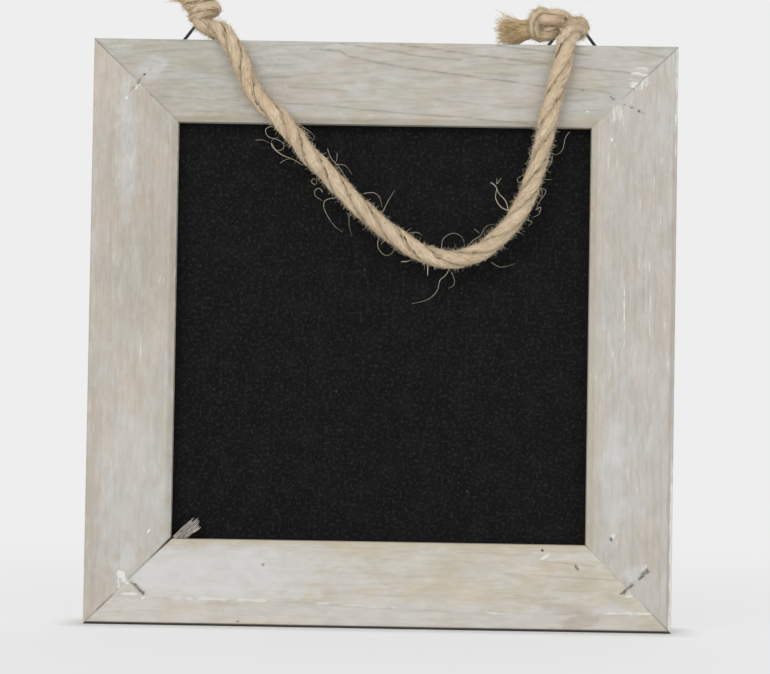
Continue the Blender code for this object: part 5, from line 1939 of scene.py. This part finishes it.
    def hairs(self, name: str, roots: Array, heads: Array, lengths: Array, radius: float,
              curl: float, stations: int, rng: np.random.Generator) -> Piece:
        """Build many curled fibres as thin three-sided tubes that taper to their tips.

        Each fibre walks from its root in equal steps, and its heading turns at a steady rate about
        an axis of its own that wanders, so that it curls.

        Args:
            name: the piece's name.
            roots: where the fibres start.
            heads: their first headings.
            lengths: their lengths.
            radius: their radius at the root.
            curl: how far, in radians, a fibre turns along its length, about.
            stations: points along each fibre.
            rng: the random source.

        Returns:
            The mesh of all the fibres.
        """
        count = len(roots)
        axis = unit(rng.normal(size=(count, 3)))
        rate = curl * rng.uniform(*self.curl_spread, count)[:, None] / stations
        heading = unit(heads)
        steps = (lengths / (stations - 1))[:, None]
        walk = [roots]
        for _ in range(stations - 1):
            walk.append(walk[-1] + heading * steps)
            heading = unit(heading + rate * np.cross(axis, heading))
            axis = unit(axis + self.axis_wander * rng.normal(size=(count, 3)))
        taper = radius * np.linspace(1.0, self.hair_tip, stations)
        reaches = np.broadcast_to(taper[None, :, None], (count, stations, self.hair_sides))
        points = tube_points(np.stack(walk, axis=1), reaches, unit(rng.normal(size=(count, 3))))
        piece = new_piece(name, points, tube_faces(count, stations, self.hair_sides), sharp=False)
        set_values(piece, "fibre_tone", np.repeat(rng.uniform(0.0, 1.0, count), stations * self.hair_sides))
        return piece

    def build_fuzz(self, batch: Fuzz, routes: list[Array]) -> Piece:
        """Build a batch of fibres that stand off the rope and its wraps at random places."""
        rng = np.random.default_rng(batch.seed)
        total = sum(len(route) for route in routes)
        roots, heads = [], []
        for route in routes:
            count = round(batch.count * len(route) / total)
            margin = min(self.bare_stations, len(route) // self.bare_parts)
            stations = rng.integers(margin, len(route) - margin, count)
            tangents, first, second = carried_sides(route[None, :, :3], SIDEWAYS)
            angle = rng.uniform(0.0, FULL_TURN, count)[:, None]
            out = first[0, stations] * np.cos(angle) + second[0, stations] * np.sin(angle)
            along = tangents[0, stations] * rng.choice([-1.0, 1.0], count)[:, None]
            roots.append(route[stations, :3] + out * self.root_depth * route[stations, 3:4])
            lean = along * rng.uniform(*self.lean_spread, (count, 1))
            heads.append(out * batch.outward + lean + self.heading_scatter * rng.normal(size=out.shape))
        roots, heads = np.vstack(roots), np.vstack(heads)
        shares = rng.power(self.length_power, len(roots)) ** self.length_bend
        lengths = batch.shortest + (batch.longest - batch.shortest) * shares
        piece = self.hairs(f"rope_{batch.name}", roots, heads, lengths, batch.radius, batch.curl,
                           batch.stations, rng)
        return dress(piece, self.finishes.hair, "rope")

    def build_strays(self) -> Piece:
        """Build the single hairs, each a smooth curve a little in front of the rope's middle."""
        rng = np.random.default_rng(self.stray_seed)
        paths, reaches = [], []
        share = np.linspace(0.0, 1.0, self.stray_stations)
        taper = self.stray_mean + self.stray_swing * np.cos(self.stray_turn * share)
        for radius, *places in self.strays:
            flat = np.array(places) * MILLIMETRE
            bow = np.sin(math.pi * np.linspace(0.0, 1.0, len(flat))) * rng.uniform(0.0, self.stray_bow)
            knots = np.column_stack([flat[:, 0], self.front_y - self.stray_out - bow, flat[:, 1]])
            line = smooth_line(knots, self.stray_spacing)
            numbers = np.arange(len(line))
            steps = np.linspace(0.0, numbers[-1], self.stray_stations)
            paths.append(np.stack([np.interp(steps, numbers, column) for column in line.T], axis=1))
            reaches.append(radius * MILLIMETRE * taper)
        count, size = len(paths), self.stray_stations * self.stray_sides
        rings = np.repeat(np.array(reaches)[..., None], self.stray_sides, axis=2)
        points = tube_points(np.array(paths), rings, np.repeat(SIDEWAYS, count, axis=0))
        piece = new_piece("rope_stray_hairs", points, tube_faces(count, self.stray_stations, self.stray_sides))
        set_values(piece, "fibre_tone", np.repeat(rng.uniform(0.0, 0.5, count), size))
        return dress(piece, self.finishes.hair, "rope")

    def build_tail(self, end: RopeEnd) -> Piece:
        """Build a tail's frayed brush of fibres, close together at the knot and ragged at the tip."""
        rng = np.random.default_rng(end.seed)
        count = self.tail_fibres
        along, side, front = self.cross_axes(end.tail_axis)
        start = self.knot_middle(end) + along * (self.knot_length / 2 - self.tail_root_depth)
        turn = rng.uniform(0.0, FULL_TURN, count)[:, None]
        out = side * np.cos(turn) + front * np.sin(turn)
        distance = np.sqrt(rng.uniform(0.05, 1.0, count))[:, None]
        roots = start + out * distance * self.tail_rope_radius * self.tail_root_share
        heads = along + out * distance * self.tail_spread + self.tail_scatter * rng.normal(size=out.shape)
        lengths = (end.tail_length * MILLIMETRE + self.tail_overlap) * rng.uniform(self.tail_least, 1.0, count)
        piece = self.hairs(f"{end.name}_tail_fray", roots, heads, lengths, self.tail_fibre_radius,
                           self.tail_curl, self.tail_stations, rng)
        return dress(piece, self.finishes.fray, "rope")

    def build(self) -> None:
        route = self.main_route()
        rope = self.strand_tube("jute_rope", route, self.rope_seed, frays=True)
        dress(rope, self.finishes.rope, "rope")
        extras, routes = [], [route]
        for end in self.ends:
            paths = [("wrap", number, self.wrap_route(end, wrap)) for number, wrap in enumerate(end.wraps)]
            for number, loop in enumerate(end.loops):
                sized = np.column_stack([loop.places, np.full(len(loop.places), loop.rope_radius)]) * MILLIMETRE
                sized[:, :3] += self.apex(end)
                paths.append(("loop", number, smooth_line(sized, self.station_spacing)))
            for kind, number, path in paths:
                routes.append(path)
                seed = end.seed + number + (self.loop_seed_step if kind == "loop" else 0)
                piece = self.strand_tube(f"{end.name}_knot_{kind}_{number + 1}", path, seed)
                extras.append(dress(piece, self.finishes.rope, "rope"))
            extras.append(self.build_tail(end))
        extras.append(self.build_strays())
        extras += [self.build_fuzz(batch, routes) for batch in self.fuzz]
        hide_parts("rope_span", "left_knot", "right_knot", "left_tail", "right_tail")


def main() -> None:
    """Build the studio and every piece of the chalkboard."""
    logging.basicConfig(level=logging.INFO, format="%(name)s: %(message)s")
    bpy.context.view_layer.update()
    PhotoCamera().build()
    Studio().build()
    finishes = Finishes()
    WoodFrame(finishes).build()
    Splinter(finishes).build()
    Fittings(finishes).build()
    Rings(finishes).build()
    JuteRope(finishes).build()


if __name__ == "__main__":
    main()
